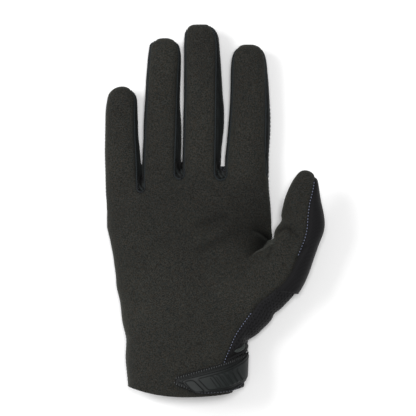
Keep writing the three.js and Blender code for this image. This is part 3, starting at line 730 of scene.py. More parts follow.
slitTop = (hand["wristWidth"] * 0.314, hand["hemY"] + hand["cuffDepth"] * 0.64)
slitFoot = (hand["wristWidth"] * 0.44, hand["hemY"] - 12)
slitSide = (hand["wristWidth"] * 0.48, hand["cuffSeamY"] - hand["cuffDepth"] * 0.18)


def palmPattern():
    outline = [(-100, -150), (-100, 110)]
    ends = [2.4 - 7] + slotFeet + [2.4]
    for k, finger in enumerate(fingers):
        rows = finger["rows"]
        sides = []
        for edge, foot in ((3, ends[k]), (4, ends[k + 1])):
            share = np.linspace((foot - finger["rootY"]) / finger["length"], 1, 46)
            x = finger["rootX"] + smoothCurve(column(rows, 0), column(rows, edge), share)
            sides.append(np.stack([x, finger["rootY"] + share * finger["length"]], 1))
        left, right = sides
        if k:
            x, y, half = crotchFoot(k - 1)
            for angle in math.pi * (1 + np.arange(1, 16) / 16):
                outline.append((x + half * math.cos(angle), y + half * 1.15 * math.sin(angle)))
            outline += left.tolist()
        outline += [(left[-1, 0], left[-1, 1] + 12), (right[-1, 0], right[-1, 1] + 12)]
        outline += right[::-1].tolist()
    outline.append((hand["knuckleWidth"] / 2 + 3, 0))
    axis, right, width, _, seam = thumbAxis(np.linspace(0, 0.995, 60))
    tip = axis[-1]
    outline += [(tip[0] - 11, tip[1] + 12), (tip[0] + 6, tip[1] + 12)]
    offset = (seam * width * thumb["width"] / 2)[:, None]
    outline += [tuple(p) for p in (axis[:, :2] + right * offset)[::-1]]
    return outline + [slitTop, slitFoot]


def seamLevel(x, y):
    side = mix(fingers[0]["thick"] * 0.42, hand["palmThickness"] * 0.36,
               smoothstep(-y, 0, hand["palmLength"] * 0.3))
    wrist = mix(side, hand["wristThickness"] * 0.5,
                smoothstep(-y, hand["palmLength"] * 0.5, hand["palmLength"] * 0.8))
    high = thumb["root"][2] + thumb["lift"] * 0.5 - thumb["thick"] * 0.1
    outward = smoothstep(x, hand["knuckleWidth"] * 0.47, hand["knuckleWidth"] * 0.6)
    upward = smoothstep(y, thumb["root"][1], thumb["root"][1] + thumb["rise"] * 0.3)
    level = mix(wrist, high, outward * upward)
    # The suede runs down into the thumb's crotch
    inCrotch = np.exp(-(((x - 53) / 8) ** 2) - ((y + 34) / 10) ** 2)
    return mix(level, 5.5, np.clip(inCrotch * 1.6, 0, 1))


def hemLine(x):
    centre = handSections(hand["hemY"])[0] - 1
    u = np.minimum(np.abs(x - centre) / (hand["wristWidth"] / 2), 1.15)
    # it turns up late under the strap
    bow = np.where(x < centre, 1.07 * u**2, 0.55 * u**2 + 0.33 * u**8)
    return hand["hemY"] + hand["hemTrim"] + hand["hemBow"] * bow


ball, joint = thumbAxis(np.array([0.263, 0.489, 0.5]))[0][:2]
crotch = (hand["knuckleWidth"] * 0.52, joint[1] + thumb["width"] * 0.13)
hinge = (hand["knuckleWidth"] * 0.44, ball[1] - thumb["width"] * 0.02)
notch = (ball[0] + thumb["width"] * 0.57, ball[1] - thumb["width"] * 0.17)
patterns = {
    "palm": palmPattern(),
    "thumb": [crotch, (hand["knuckleWidth"] * 0.46, mix(crotch[1], hinge[1], 0.6)), hinge, notch,
              (100, notch[1]), (100, 30), (crotch[0] + 6, 30)],
    "wrist": [hinge, (hand["wristWidth"] * 0.46, thumb["root"][1] + 3.1),
              (hand["wristWidth"] * 0.36, hand["cuffSeamY"]), (100, hand["cuffSeamY"]),
              (100, notch[1]), notch],
    "gore": [slitTop, slitSide, (100, slitSide[1]), (100, hand["cuffSeamY"]),
             (hand["wristWidth"] * 0.36, hand["cuffSeamY"])],
    "slit": [slitTop, slitFoot, (100, hand["hemY"] - 12), (100, slitSide[1]), slitSide],
}


def inPattern(name):
    return lambda points: insidePattern(points, patterns[name])


def aboveSeam(points):
    return points[:, 2] - seamLevel(points[:, 0], points[:, 1])


def aboveHem(points):
    return points[:, 1] - hemLine(points[:, 0])


def pastCuff(points):
    return points[:, 1] - hand["cuffSeamY"]


def centres(points, tris):
    return points[tris].mean(axis=1)


cloth, clothTris = skin, skinTris
cloth, clothTris = cutAlong(cloth, clothTris, aboveHem)
cloth, clothTris = cutAlong(cloth, clothTris, inPattern("palm"))
cloth, clothTris = cutAlong(cloth, clothTris, aboveSeam)
for name in ("thumb", "wrist", "gore", "slit"):
    middles = centres(cloth, clothTris)
    rest = ~((insidePattern(middles, patterns["palm"]) > 0) & (aboveSeam(middles) > 0))
    cloth, clothTris = cutAlong(cloth, clothTris, inPattern(name), rest)
middles = centres(cloth, clothTris)
cloth, clothTris = cutAlong(cloth, clothTris, pastCuff, aboveSeam(middles) < 0)
print("cloth cut:", len(clothTris), "triangles")

panelNames = ["palm", "back", "thumbBack", "wristGusset", "cuffBack", "sideLittle", "sideRing",
              "sideMiddle", "sideIndex", "offcut"]
panelIndex = {name: k for k, name in enumerate(panelNames)}
middles = centres(cloth, clothTris)
above = aboveSeam(middles) > 0
inside = {name: insidePattern(middles, outline) > 0 for name, outline in patterns.items()}
strip = np.searchsorted([finger["rootX"] for finger in fingers[1:]], middles[:, 0])
label = np.where(
    above,
    np.array([panelIndex["sideLittle"], panelIndex["sideRing"], panelIndex["sideMiddle"],
              panelIndex["sideIndex"]])[strip],
    np.where(middles[:, 1] > hand["cuffSeamY"], panelIndex["back"], panelIndex["cuffBack"]))
label[above & (middles[:, 1] < -45)] = panelIndex["wristGusset"]
label[above & inside["slit"]] = panelIndex["offcut"]
label[above & inside["gore"]] = panelIndex["wristGusset"]
label[inside["wrist"]] = panelIndex["wristGusset"]
label[inside["thumb"]] = panelIndex["thumbBack"]
label[above & inside["palm"]] = panelIndex["palm"]
label[aboveHem(middles) < 0] = panelIndex["offcut"]
for k, name in enumerate(panelNames):
    print("  ", name, int((label == k).sum()), "triangles")


# Seams: the edges that two panels share, walked into paths

def edgeTable(tris, label):
    a, b = tris, np.roll(tris, -1, axis=1)
    low, high = np.minimum(a, b).ravel(), np.maximum(a, b).ravel()
    size = int(tris.max()) + 1
    key = low * size + high
    owner = np.repeat(label, 3)
    order = np.argsort(key, kind="stable")
    key, owner = key[order], owner[order]
    first = np.flatnonzero(key[:-1] == key[1:])
    return np.stack([key[first] // size, key[first] % size], 1), owner[first], owner[first + 1]


edgeEnds, ownerA, ownerB = edgeTable(clothTris, label)


def seamBetween(oneSide, otherSide):
    one = np.isin(ownerA, [panelIndex[n] for n in oneSide]) & np.isin(ownerB,
        [panelIndex[n] for n in otherSide])
    other = np.isin(ownerB, [panelIndex[n] for n in oneSide]) & np.isin(ownerA,
        [panelIndex[n] for n in otherSide])
    return edgeEnds[one | other]


def walkPaths(edges, shortest=6):
    neighbours = {}
    for a, b in edges.tolist():
        neighbours.setdefault(a, []).append(b)
        neighbours.setdefault(b, []).append(a)
    seen, paths = set(), []
    starts = [v for v, near in neighbours.items() if len(near) != 2] + list(neighbours)
    for start in starts:
        for step in neighbours[start]:
            if (start, step) in seen:
                continue
            path, before, now = [start], start, step
            seen.update([(start, step), (step, start)])
            while True:
                path.append(now)
                onward = [v for v in neighbours[now] if v != before and (now, v) not in seen]
                if len(neighbours[now]) != 2 or not onward:
                    break
                before, now = now, onward[0]
                seen.update([(before, now), (now, before)])
            if len(path) >= shortest:
                paths.append(path)
    return paths


sides = ["sideLittle", "sideRing", "sideMiddle", "sideIndex"]
seamEdges = {
    "finger": seamBetween(["palm"], sides),
    "thumb": seamBetween(["palm"], ["thumbBack", "wristGusset"]),
    "outer": seamBetween(["palm"], ["back", "cuffBack"]),
    "back": seamBetween(["back"], sides + ["thumbBack", "wristGusset"]),
    "gusset": seamBetween(["thumbBack"], ["wristGusset"]),
    "cuff": seamBetween(["cuffBack"], ["back", "wristGusset"]),
    "palmHem": seamBetween(["palm"], ["offcut"]),
    "backHem": seamBetween(["cuffBack"], ["offcut"]),
    "slit": seamBetween(["wristGusset"], ["offcut"]),
}

# The seam lines are eased, then drawn in so that the panels swell a little between them
for name, edges in seamEdges.items():
    if len(edges):
        onSeam = np.zeros(len(cloth))
        degree = np.bincount(edges.ravel(), minlength=len(cloth))
        onSeam[degree == 2] = 1
        for _ in range(4):
            cloth = relax(cloth, edges, 0.5, onSeam)

tuck = {"finger": (0.75, 1.1), "thumb": (0.7, 1.3), "outer": (0.5, 1.2), "back": (0.5, 1.2),
        "gusset": (0.35, 1.1),
        "cuff": (0.4, 1.2)}
normals = pointNormals(cloth, clothTris)
pull = np.zeros(len(cloth))
for name, (depth, reach) in tuck.items():
    ids = np.unique(seamEdges[name])
    if not len(ids):
        continue
    tree = KDTree(len(ids))
    for i, v in enumerate(ids):
        tree.insert(cloth[v], i)
    tree.balance()
    lowest, highest = cloth[ids].min(0) - 4, cloth[ids].max(0) + 4
    for v in np.flatnonzero(((cloth > lowest) & (cloth < highest)).all(1)):
        away = tree.find(cloth[v])[2]
        if away < reach * 2.6:
            pull[v] = max(pull[v], depth * math.exp(-((away / reach) ** 2)))
cloth = cloth - normals * pull[:, None]
cloth[:, 2] = np.maximum(cloth[:, 2], 0.0)
# Painted shade and highlight on the cloth: the palm's where the cloth faces up or stands high,
# darker in the drawn-in seams, and in the slots between the fingers darker deep down and lighter on
# their pleats
lit = np.maximum(smoothstep(normals[:, 2], 0.0, 0.3), smoothstep(cloth[:, 2], 4, 18))
shadeAndHighlight = np.maximum(palmShadeAndHighlight(cloth) * lit, pull * 0.55)
for k in range(3):
    inside, past, wave = slotAt(cloth, k)
    onStrip = np.zeros(len(cloth), bool)
    onStrip[clothTris[(label == panelIndex["sideLittle"] + k)].ravel()] = True
    shadeAndHighlight += onStrip * inside * (1 - smoothstep(past, 6, 12)) * (0.93 - 5.0 * np.clip(wave, 0,
        1) ** 1.5)
normals = pointNormals(cloth, clothTris)
surface = BVHTree.FromPolygons(cloth.tolist(), clothTris.tolist())
print("seams drawn in")


# Finishing a piece

def toFrame(points):
    points = np.asarray(points, float)
    return (points + (hand["shiftX"], hand["shiftY"], 0)) / 1000


def addMesh(name, points, faces, materials, materialIndex=None, sharp=52, shadeAndHighlight=None):
    mesh = bpy.data.meshes.new(name)
    mesh.from_pydata(toFrame(points).tolist(), [], [list(map(int, f)) for f in faces])
    for material in materials:
        mesh.materials.append(material)
    if materialIndex is not None:
        mesh.polygons.foreach_set("material_index", np.asarray(materialIndex, np.int32))
    mesh.polygons.foreach_set("use_smooth", np.ones(len(mesh.polygons), bool))
    mesh.set_sharp_from_angle(angle=math.radians(sharp))
    if shadeAndHighlight is not None:
        mesh.attributes.new("shadeAndHighlight", "FLOAT", "POINT").data.foreach_set("value",
            np.asarray(shadeAndHighlight, np.float32))
    mesh.update()
    piece = bpy.data.objects.new(name, mesh)
    bpy.context.collection.objects.link(piece)
    return piece


def walled(points, tris, normals, wall):
    # A sheet given thickness inwards, with its rim closed
    used, inverse = np.unique(tris, return_inverse=True)
    tris = inverse.reshape(-1, 3)
    outer = points[used]
    inner = outer - normals[used] * wall
    inner[:, 2] = np.maximum(inner[:, 2], 0.0)
    count = len(outer)
    a, b = tris.ravel(), np.roll(tris, -1, axis=1).ravel()
    forward = set(zip(a.tolist(), b.tolist()))
    rim = [(p, q) for p, q in forward if (q, p) not in forward]
    faces = tris.tolist() + (tris[:, ::-1] + count).tolist()
    faces += [[p, p + count, q + count, q] for p, q in rim]
    index = [0] * len(tris) + [1] * len(tris) + [0] * len(rim)
    return np.concatenate([outer, inner]), faces, index, np.concatenate([used, used])


def halved(points, tris):
    # Each triangle made four
    a, b = tris, np.roll(tris, -1, axis=1)
    key = np.minimum(a, b) * len(points) + np.maximum(a, b)
    keys, inverse = np.unique(key, return_inverse=True)
    inverse = inverse.reshape(-1, 3) + len(points)
    points = np.concatenate([points,
                             (points[keys // len(points)] + points[keys % len(points)]) / 2])
    m = [inverse[:, k] for k in range(3)]
    t = [tris[:, k] for k in range(3)]
    parts = [(t[0], m[0], m[2]), (m[0], t[1], m[1]), (m[2], m[1], t[2]), (m[0], m[1], m[2])]
    return points, np.concatenate([np.stack(part, 1) for part in parts])


def mergePlaces(points, tris):
    used, inverse = np.unique(tris, return_inverse=True)
    return points[used], inverse.reshape(-1, 3)


# Materials

def addNode(tree, kind, settings=(), **values):
    made = tree.nodes.new(kind)
    for key, value in dict(settings).items():
        setattr(made, key, value)
    for key, value in values.items():
        made.inputs[key.replace("_", " ")].default_value = value
    return made


def startMaterial(name, roughness, sheen=0.0, sheenRoughness=0.5, specular=0.3,
                  sheenTint=(1, 1, 1, 1)):
    material = bpy.data.materials.new(name)
    material.use_nodes = True
    tree = material.node_tree
    shader = tree.nodes["Principled BSDF"]
    shader.inputs["Roughness"].default_value = roughness
    shader.inputs["Sheen Weight"].default_value = sheen
    shader.inputs["Sheen Roughness"].default_value = sheenRoughness
    shader.inputs["Sheen Tint"].default_value = sheenTint
    shader.inputs["Specular IOR Level"].default_value = specular
    place = addNode(tree, "ShaderNodeTexCoord")
    return material, tree, shader, place.outputs["Object"]


def noise(tree, place, scale, detail=3.0, roughness=0.55, distortion=0.0):
    made = addNode(tree, "ShaderNodeTexNoise", Scale=scale, Detail=detail, Roughness=roughness,
                   Distortion=distortion)
    tree.links.new(place, made.inputs["Vector"])
    return made


def ramp(tree, factor, stops):
    made = tree.nodes.new("ShaderNodeValToRGB")
    elements = made.color_ramp.elements
    while len(elements) < len(stops):
        elements.new(0.5)
    for element, (position, color) in zip(elements, stops):
        element.position = position
        element.color = (*color, 1)
    tree.links.new(factor, made.inputs["Fac"])
    return made.outputs["Color"]


def blendColors(tree, mode, factor, first, second):
    made = addNode(tree, "ShaderNodeMix", {"data_type": "RGBA", "blend_type": mode})
    for value, socket in ((factor, made.inputs[0]), (first, made.inputs[6]),
                          (second, made.inputs[7])):
        if hasattr(value, "links"):
            tree.links.new(value, socket)
        else:
            socket.default_value = value if socket.type == "VALUE" else (*value, 1)
    return made.outputs[2]


def maths(tree, operation, first, second=0.0, clamp=False):
    made = addNode(tree, "ShaderNodeMath", {"operation": operation, "use_clamp": clamp})
    for value, socket in ((first, made.inputs[0]), (second, made.inputs[1])):
        if hasattr(value, "links"):
            tree.links.new(value, socket)
        else:
            socket.default_value = value
    return made.outputs[0]


def bumped(tree, shader, height, distance, strength=1.0):
    made = addNode(tree, "ShaderNodeBump", Strength=strength, Distance=distance)
    tree.links.new(height, made.inputs["Height"])
    tree.links.new(made.outputs["Normal"], shader.inputs["Normal"])
    return made


def turned(tree, place, angles, scale=(1, 1, 1)):
    made = addNode(tree, "ShaderNodeMapping", Rotation=angles, Scale=scale)
    tree.links.new(place, made.inputs["Vector"])
    return made.outputs["Vector"]


def waves(tree, place, scale, direction="X", distortion=0.0, detail=1.0):
    made = addNode(tree, "ShaderNodeTexWave", {"bands_direction": direction}, Scale=scale,
                   Distortion=distortion,
                   Detail=detail)
    tree.links.new(place, made.inputs["Vector"])
    return made.outputs["Fac"]


def shadeAndHighlightTone(tree, tone):
    # Painted shade and highlight from the mesh's own values: darker where they are above 0, lighter
    # where below 0, where it has any
    loss = addNode(tree, "ShaderNodeAttribute", {"attribute_name": "shadeAndHighlight"})
    return blendColors(tree, "MULTIPLY", 1.0, tone,
                       maths(tree, "SUBTRACT", 1.0, loss.outputs["Fac"]))


suede = {
    "dark": (0.0022, 0.0023, 0.002), "light": (0.0345, 0.034, 0.0302),
    "cool": (0.0125, 0.0165, 0.0165), "warm": (0.0255, 0.0195, 0.0135),
    "grain": 1650, "fleck": 1000, "cloud": 190, "wear": 26, "depth": 0.0002,
}


def suedeMaterial():
    material, tree, shader, place = startMaterial("palmSuede", 0.93, sheen=0.07,
                                                  sheenRoughness=0.45, specular=0.12,
                                                  sheenTint=(0.9, 0.95, 0.85, 1))
    grain = noise(tree, place, suede["grain"], 4.0, 0.7)
    fleck = noise(tree, place, suede["fleck"], 2.0, 0.6)
    cloud = noise(tree, place, suede["cloud"], 2.5, 0.6)
    wear = noise(tree, place, suede["wear"], 2.0, 0.5)
    tone = ramp(tree, grain.outputs["Fac"], [(0.42, suede["dark"]), (0.59, suede["light"])])
    hue = ramp(tree, fleck.outputs["Fac"], [(0.42, suede["cool"]), (0.62, suede["warm"])])
    tone = blendColors(tree, "MIX", 0.36, tone, hue)
    patch = ramp(tree, cloud.outputs["Fac"], [(0.3, (0.93, 0.93, 0.93)), (0.7, (1.06, 1.06, 1.06))])
    tone = blendColors(tree, "MULTIPLY", 1.0, tone, patch)
    rub = ramp(tree, wear.outputs["Fac"], [(0.34, (0.9, 0.9, 0.9)), (0.68, (1.1, 1.1, 1.08))])
    tone = blendColors(tree, "MULTIPLY", 1.0, tone, rub)
    tree.links.new(shadeAndHighlightTone(tree, tone), shader.inputs["Base Color"])
    nap = maths(tree, "ADD", grain.outputs["Fac"],
                maths(tree, "MULTIPLY", fleck.outputs["Fac"], 0.5))
    bumped(tree, shader, nap, suede["depth"], 0.8)
    return material


def knitMaterial(name, color, pitch, angles, roughness=0.8, sheen=0.25, depth=0.00012,
                 contrast=0.35, specular=0.25):
    # Rows of small loops: ribs along one way, crossed by the courses
    material, tree, shader, place = startMaterial(name, roughness, sheen=sheen, specular=specular)
    way = turned(tree, place, angles)
    rib = waves(tree, way, math.pi / pitch / 10, "X", 0.4, 1.0)
    course = waves(tree, way, math.pi / pitch / 13, "Y", 0.4, 1.0)
    loops = maths(tree, "MULTIPLY", rib, maths(tree, "ADD", maths(tree, "MULTIPLY", course, 0.6),
                                               0.4))
    fuzz = noise(tree, place, 1100, 3.0, 0.6)
    cloud = noise(tree, place, 60, 2.0, 0.5)
    low = tuple(c * (1 - contrast) for c in color)
    high = tuple(c * (1 + contrast) for c in color)
    tone = ramp(tree, loops, [(0.05, low), (0.7, high)])
    speck = ramp(tree, fuzz.outputs["Fac"], [(0.3, (0.82, 0.82, 0.82)), (0.7, (1.18, 1.18, 1.18))])
    tone = blendColors(tree, "MULTIPLY", 1.0, tone, speck)
    shade = ramp(tree, cloud.outputs["Fac"], [(0.3, (0.88, 0.88, 0.88)), (0.7, (1.12, 1.12, 1.12))])
    tone = blendColors(tree, "MULTIPLY", 1.0, tone, shade)
    tree.links.new(shadeAndHighlightTone(tree, tone), shader.inputs["Base Color"])
    bumped(tree, shader, maths(tree, "ADD", loops, maths(tree, "MULTIPLY", fuzz.outputs["Fac"],
                                                         0.4)), depth)
    return material


def rubberMaterial(name, color, roughness=0.46, grain=900, depth=0.00003):
    material, tree, shader, place = startMaterial(name, roughness, sheen=0.01, specular=0.2)
    fine = noise(tree, place, grain, 3.0, 0.6)
    smear = noise(tree, place, 55, 3.0, 0.55)
    tone = ramp(tree, smear.outputs["Fac"], [(0.3, tuple(c * 0.86 for c in color)), (0.7,
        tuple(c * 1.12 for c in color))])
    speck = ramp(tree, fine.outputs["Fac"], [(0.3, (0.92, 0.92, 0.92)), (0.7, (1.06, 1.06, 1.06))])
    tone = blendColors(tree, "MULTIPLY", 1.0, tone, speck)
    tree.links.new(shadeAndHighlightTone(tree, tone), shader.inputs["Base Color"])
    gloss = ramp(tree, smear.outputs["Fac"], [(0.3, (roughness - 0.05,) * 3), (0.7,
        (roughness + 0.08,) * 3)])
    tree.links.new(gloss, shader.inputs["Roughness"])
    bumped(tree, shader, fine.outputs["Fac"], depth)
    return material


def threadMaterial(name, color, twist=2600):
    material, tree, shader, place = startMaterial(name, 0.6, sheen=0.05, specular=0.2)
    ply = waves(tree, turned(tree, place, (0.4, 0.3, 0.8)), twist, "X")
    tone = ramp(tree, ply, [(0.1, tuple(c * 0.6 for c in color)), (0.8, tuple(min(c * 1.15,
        1) for c in color))])
    tree.links.new(tone, shader.inputs["Base Color"])
    bumped(tree, shader, ply, 0.00004)
    return material


finishes = {
    "suede": suedeMaterial(),
    "lining": knitMaterial("lining", (0.0065, 0.0068, 0.0075), 0.0011, (0, 0, 0.3), 0.9, 0.05,
                           specular=0.15),
    "back": knitMaterial("backKnit", (0.0105, 0.011, 0.014), 0.0012, (0, 0, 0.0), 0.82, 0.1,
                         specular=0.2),
    "thumbBack": knitMaterial("thumbKnit", (0.0048, 0.0046, 0.0054), 0.0009, (0.5, 0.4, 0.9), 0.75,
                              0.04, 0.00006, 0.2, 0.15),
    "mesh": knitMaterial("sideMesh", (0.0066, 0.0065, 0.0074), 0.0008, (0.6, 0.3, 0.7), 0.75, 0.04,
                         0.00006, 0.3, 0.15),
    "cuff": knitMaterial("cuffKnit", (0.0125, 0.0142, 0.0145), 0.0014, (0, 0, 0), 0.82, 0.08,
                         specular=0.2),
    "strip": knitMaterial("sideStrip", (0.0038, 0.0052, 0.0052), 0.001, (0.0, 1.2, 0.1), 0.8, 0.05,
                          0.0001, 0.35, 0.15),
    "roll": knitMaterial("seamRoll", (0.0098, 0.0135, 0.0155), 0.0008, (0.2, 0.4, 0.8), 0.75, 0.06,
                         0.00005, 0.25, 0.2),
    "binding": knitMaterial("cuffBinding", (0.026, 0.031, 0.029), 0.0009, (0.3, 0.2, 0.6), 0.7,
                            0.08, 0.00006, 0.25, 0.2),
    "webbing": rubberMaterial("strapWebbing", (0.0062, 0.0078, 0.0078), 0.65),
    "patch": rubberMaterial("strapRubber", (0.0085, 0.0112, 0.0108), 0.55),
    "hook": knitMaterial("hookTape", (0.006, 0.006, 0.007), 0.0013, (0, 0, 0), 0.6, 0.05, 0.0004,
                         0.4, 0.2),
    "darkThread": threadMaterial("darkThread", (0.0035, 0.0045, 0.0055)),
    # painted shadow between the strap's whip stitches
    "stitchShadow": threadMaterial("stitchShadow", (0.0012, 0.0014, 0.0014)),
    "paleThread": threadMaterial("paleThread", (0.15, 0.17, 0.25)),
    "greyThread": threadMaterial("greyThread", (0.075, 0.08, 0.1)),
    "whiteThread": threadMaterial("whiteThread", (0.085, 0.092, 0.094)),
}
print("materials made")


# Cloth panels

def finishPiece(piece, slot, *nodes):
    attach(piece, "root")
    if nodes:
        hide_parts(*nodes)
    return piece


clothPanels = [
    # name, label, finish, slot, node
    ("palmPanel", "palm", "suede", "palm_suede", "palm_panel"),
    ("backPanel", "back", "back", "back_knit", "back_panel"),
    ("thumbBackPanel", "thumbBack", "thumbBack", "thumb_knit", "thumb_back"),
    ("cuffBackPanel", "cuffBack", "cuff", "cuff_knit", "cuff_back"),
    ("sideStripLittleRing", "sideLittle", "strip", "side_strip", "fourchette_little_ring"),
    ("sideStripRingMiddle", "sideRing", "strip", "side_strip", "fourchette_ring_middle"),
    ("sideStripMiddleIndex", "sideMiddle", "strip", "side_strip", "fourchette_middle_index"),
    ("sideStripIndex", "sideIndex", "strip", "side_strip", "index_side_gusset"),
]
for name, part, finish, slot, node in clothPanels:
    points, faces, index, source = walled(cloth, clothTris[label == panelIndex[part]], normals,
                                          hand["wall"])
    piece = addMesh(name, points, faces, [finishes[finish], finishes["lining"]], index,
                    shadeAndHighlight=shadeAndHighlight[source])
    finishPiece(piece, slot, node)
print("cloth panels made")

sideMesh = {"pitch": 2.3, "depth": 0.32}


def thumbAround(points):
    # Along the thumb's axis, and around it, in mm
    axis, right, *_ = thumbAxis(np.linspace(0, 1, 400))
    run = np.concatenate([[0], np.cumsum(np.linalg.norm(np.diff(axis[:, :2], axis=0), axis=1))])
    nearest = ((points[:, None, :2] - axis[None, :, :2]) ** 2).sum(2).argmin(1)
    across = ((points[:, :2] - axis[nearest, :2]) * right[nearest]).sum(1)
    return run[nearest], np.arctan2(points[:, 2] - axis[nearest, 2], across) * 14


def gussetPanel():
    # The mesh at the side of the wrist: holes are pressed into it in rows
    part = clothTris[label == panelIndex["wristGusset"]]
    points, tris = mergePlaces(np.hstack([cloth, normals]), part)
    points, tris = halved(points, tris)
    points, way = points[:, :3], points[:, 3:]
    way /= np.linalg.norm(way, axis=1)[:, None]
    direction = np.array([0.66, 0.75])
    p = points[:, :2] @ direction
    q = thumbAround(points)[1]
    k = 4 * math.pi / math.sqrt(3) / sideMesh["pitch"]
    lattice = (np.cos(k * q) + np.cos(k * (p * 0.866 - q * 0.5))
               + np.cos(k * (p * 0.866 + q * 0.5))) / 3
    hole = smoothstep(lattice, 0.15, 0.75)
    points = points - way * (hole * sideMesh["depth"])[:, None]
    a = np.concatenate([tris[:, [0, 1]], tris[:, [1, 2]], tris[:, [2, 0]]])
    points = relax(points, np.unique(np.sort(a, axis=1), axis=0), 0.15)
    walls, faces, index, source = walled(points, tris, way, hand["wall"])
    # Painted shadow in the slit's gap above the strap, and painted shade in the pressed holes
    shade = 0.92 * (1 - smoothstep(pathDistance(points, [slitTop, slitSide])[0], 1.5, 5.5))
    dark = np.maximum(hole * 0.8, shade)[source]
    piece = addMesh("wristGussetPanel", walls, faces, [finishes["mesh"], finishes["lining"]], index,
                    shadeAndHighlight=dark)
    return finishPiece(piece, "side_mesh", "wrist_gusset")


gussetPanel()
print("mesh gusset made")


# Paths along the seams, for rolled edges and rows of stitches

def evenly(points, normals, spacing):
    run = np.concatenate([[0], np.cumsum(np.linalg.norm(np.diff(points, axis=0), axis=1))])
    at = np.linspace(0, run[-1], max(int(run[-1] / spacing), 2) + 1)
    place = np.stack([np.interp(at, run, points[:, k]) for k in range(3)], 1)
    way = np.stack([np.interp(at, run, normals[:, k]) for k in range(3)], 1)
    return place, way / np.linalg.norm(way, axis=1)[:, None]


def eased(values, times):
    values = values.copy()
    for _ in range(times):
        values[1:-1] = (values[:-2] + 2 * values[1:-1] + values[2:]) / 4
    return values


def seamPaths(name, offset=0.0, lift=0.0, toward=None, within=None, spacing=0.6, shortest=8):
    paths = []
    for ids in walkPaths(seamEdges[name]):
        points, way = eased(cloth[ids], 3), eased(normals[ids], 8)
        if np.linalg.norm(np.diff(points, axis=0), axis=1).sum() < shortest:
            continue
        points, way = evenly(points, way, spacing)
        points, way = eased(points, 2), eased(way, 4)
        if offset:
            ahead = np.gradient(points, axis=0)
            side = np.cross(way, ahead)
            side /= np.linalg.norm(side, axis=1)[:, None]
            if toward is not None and (toward(points + side) - toward(points - side)).sum() < 0:
                side = -side
            points = points + side * offset
            found = [surface.find_nearest(Vector(p)) for p in points]
            points = eased(np.array([f[0] for f in found]), 2)
            way = eased(np.array([f[1] for f in found]), 4)
            way /= np.linalg.norm(way, axis=1)[:, None]
        if within is not None:
            kept = within(points)
            points, way = points[kept], way[kept]
            if len(points) < 4:
                continue
        paths.append((points + way * lift, way))
    return paths


def tapered(points, reach=3.0):
    # 1 along a path, falling to nearly 0 at its two ends
    run = np.concatenate([[0], np.cumsum(np.linalg.norm(np.diff(points, axis=0), axis=1))])
    return 0.15 + 0.85 * smoothstep(run, 0, reach) * smoothstep(run[-1] - run, 0, reach)


def pathPiece(name, paths):
    # Loose edges that carry the way the cloth faces, for a node tree to follow
    points = np.concatenate([p for p, _ in paths])
    ways = np.concatenate([w for _, w in paths])
    edges, start = [], 0
    for p, _ in paths:
        edges += [(start + i, start + i + 1) for i in range(len(p) - 1)]
        start += len(p)
    mesh = bpy.data.meshes.new(name)
    mesh.from_pydata(toFrame(points).tolist(), edges, [])
    mesh.attributes.new("clothWay", "FLOAT_VECTOR", "POINT").data.foreach_set("vector",
        ways.ravel())
    swell = np.concatenate([tapered(p) for p, _ in paths])
    mesh.attributes.new("swell", "FLOAT", "POINT").data.foreach_set("value", swell)
    piece = bpy.data.objects.new(name, mesh)
    bpy.context.collection.objects.link(piece)
    return piece


def startTree(name, sizes):
    tree = bpy.data.node_groups.new(name, "GeometryNodeTree")
    tree.interface.new_socket(name="Path", in_out="INPUT", socket_type="NodeSocketGeometry")
    for size, value in sizes.items():
        tree.interface.new_socket(name=size, in_out="INPUT",
                                  socket_type="NodeSocketFloat").default_value = value
    tree.interface.new_socket(name="Finish", in_out="INPUT", socket_type="NodeSocketMaterial")
    tree.interface.new_socket(name="Seed", in_out="INPUT",
                              socket_type="NodeSocketInt").default_value = 3
    tree.interface.new_socket(name="Result", in_out="OUTPUT", socket_type="NodeSocketGeometry")
    return tree, tree.nodes.new("NodeGroupInput"), tree.nodes.new("NodeGroupOutput")


def endTree(tree, entry, leave, geometry):
    realize = tree.nodes.new("GeometryNodeRealizeInstances")
    finish = tree.nodes.new("GeometryNodeSetMaterial")
    tree.links.new(geometry, realize.inputs["Geometry"])
    tree.links.new(realize.outputs["Geometry"], finish.inputs["Geometry"])
    tree.links.new(entry.outputs["Finish"], finish.inputs["Material"])
    tree.links.new(finish.outputs["Geometry"], leave.inputs["Result"])


def curveAlong(tree, entry, length):
    curve = tree.nodes.new("GeometryNodeMeshToCurve")
    even = tree.nodes.new("GeometryNodeResampleCurve")
    even.mode = "LENGTH"
    tree.links.new(entry.outputs["Path"], curve.inputs["Mesh"])
    tree.links.new(curve.outputs["Curve"], even.inputs["Curve"])
    tree.links.new(length, even.inputs["Length"])
    return even.outputs["Curve"]


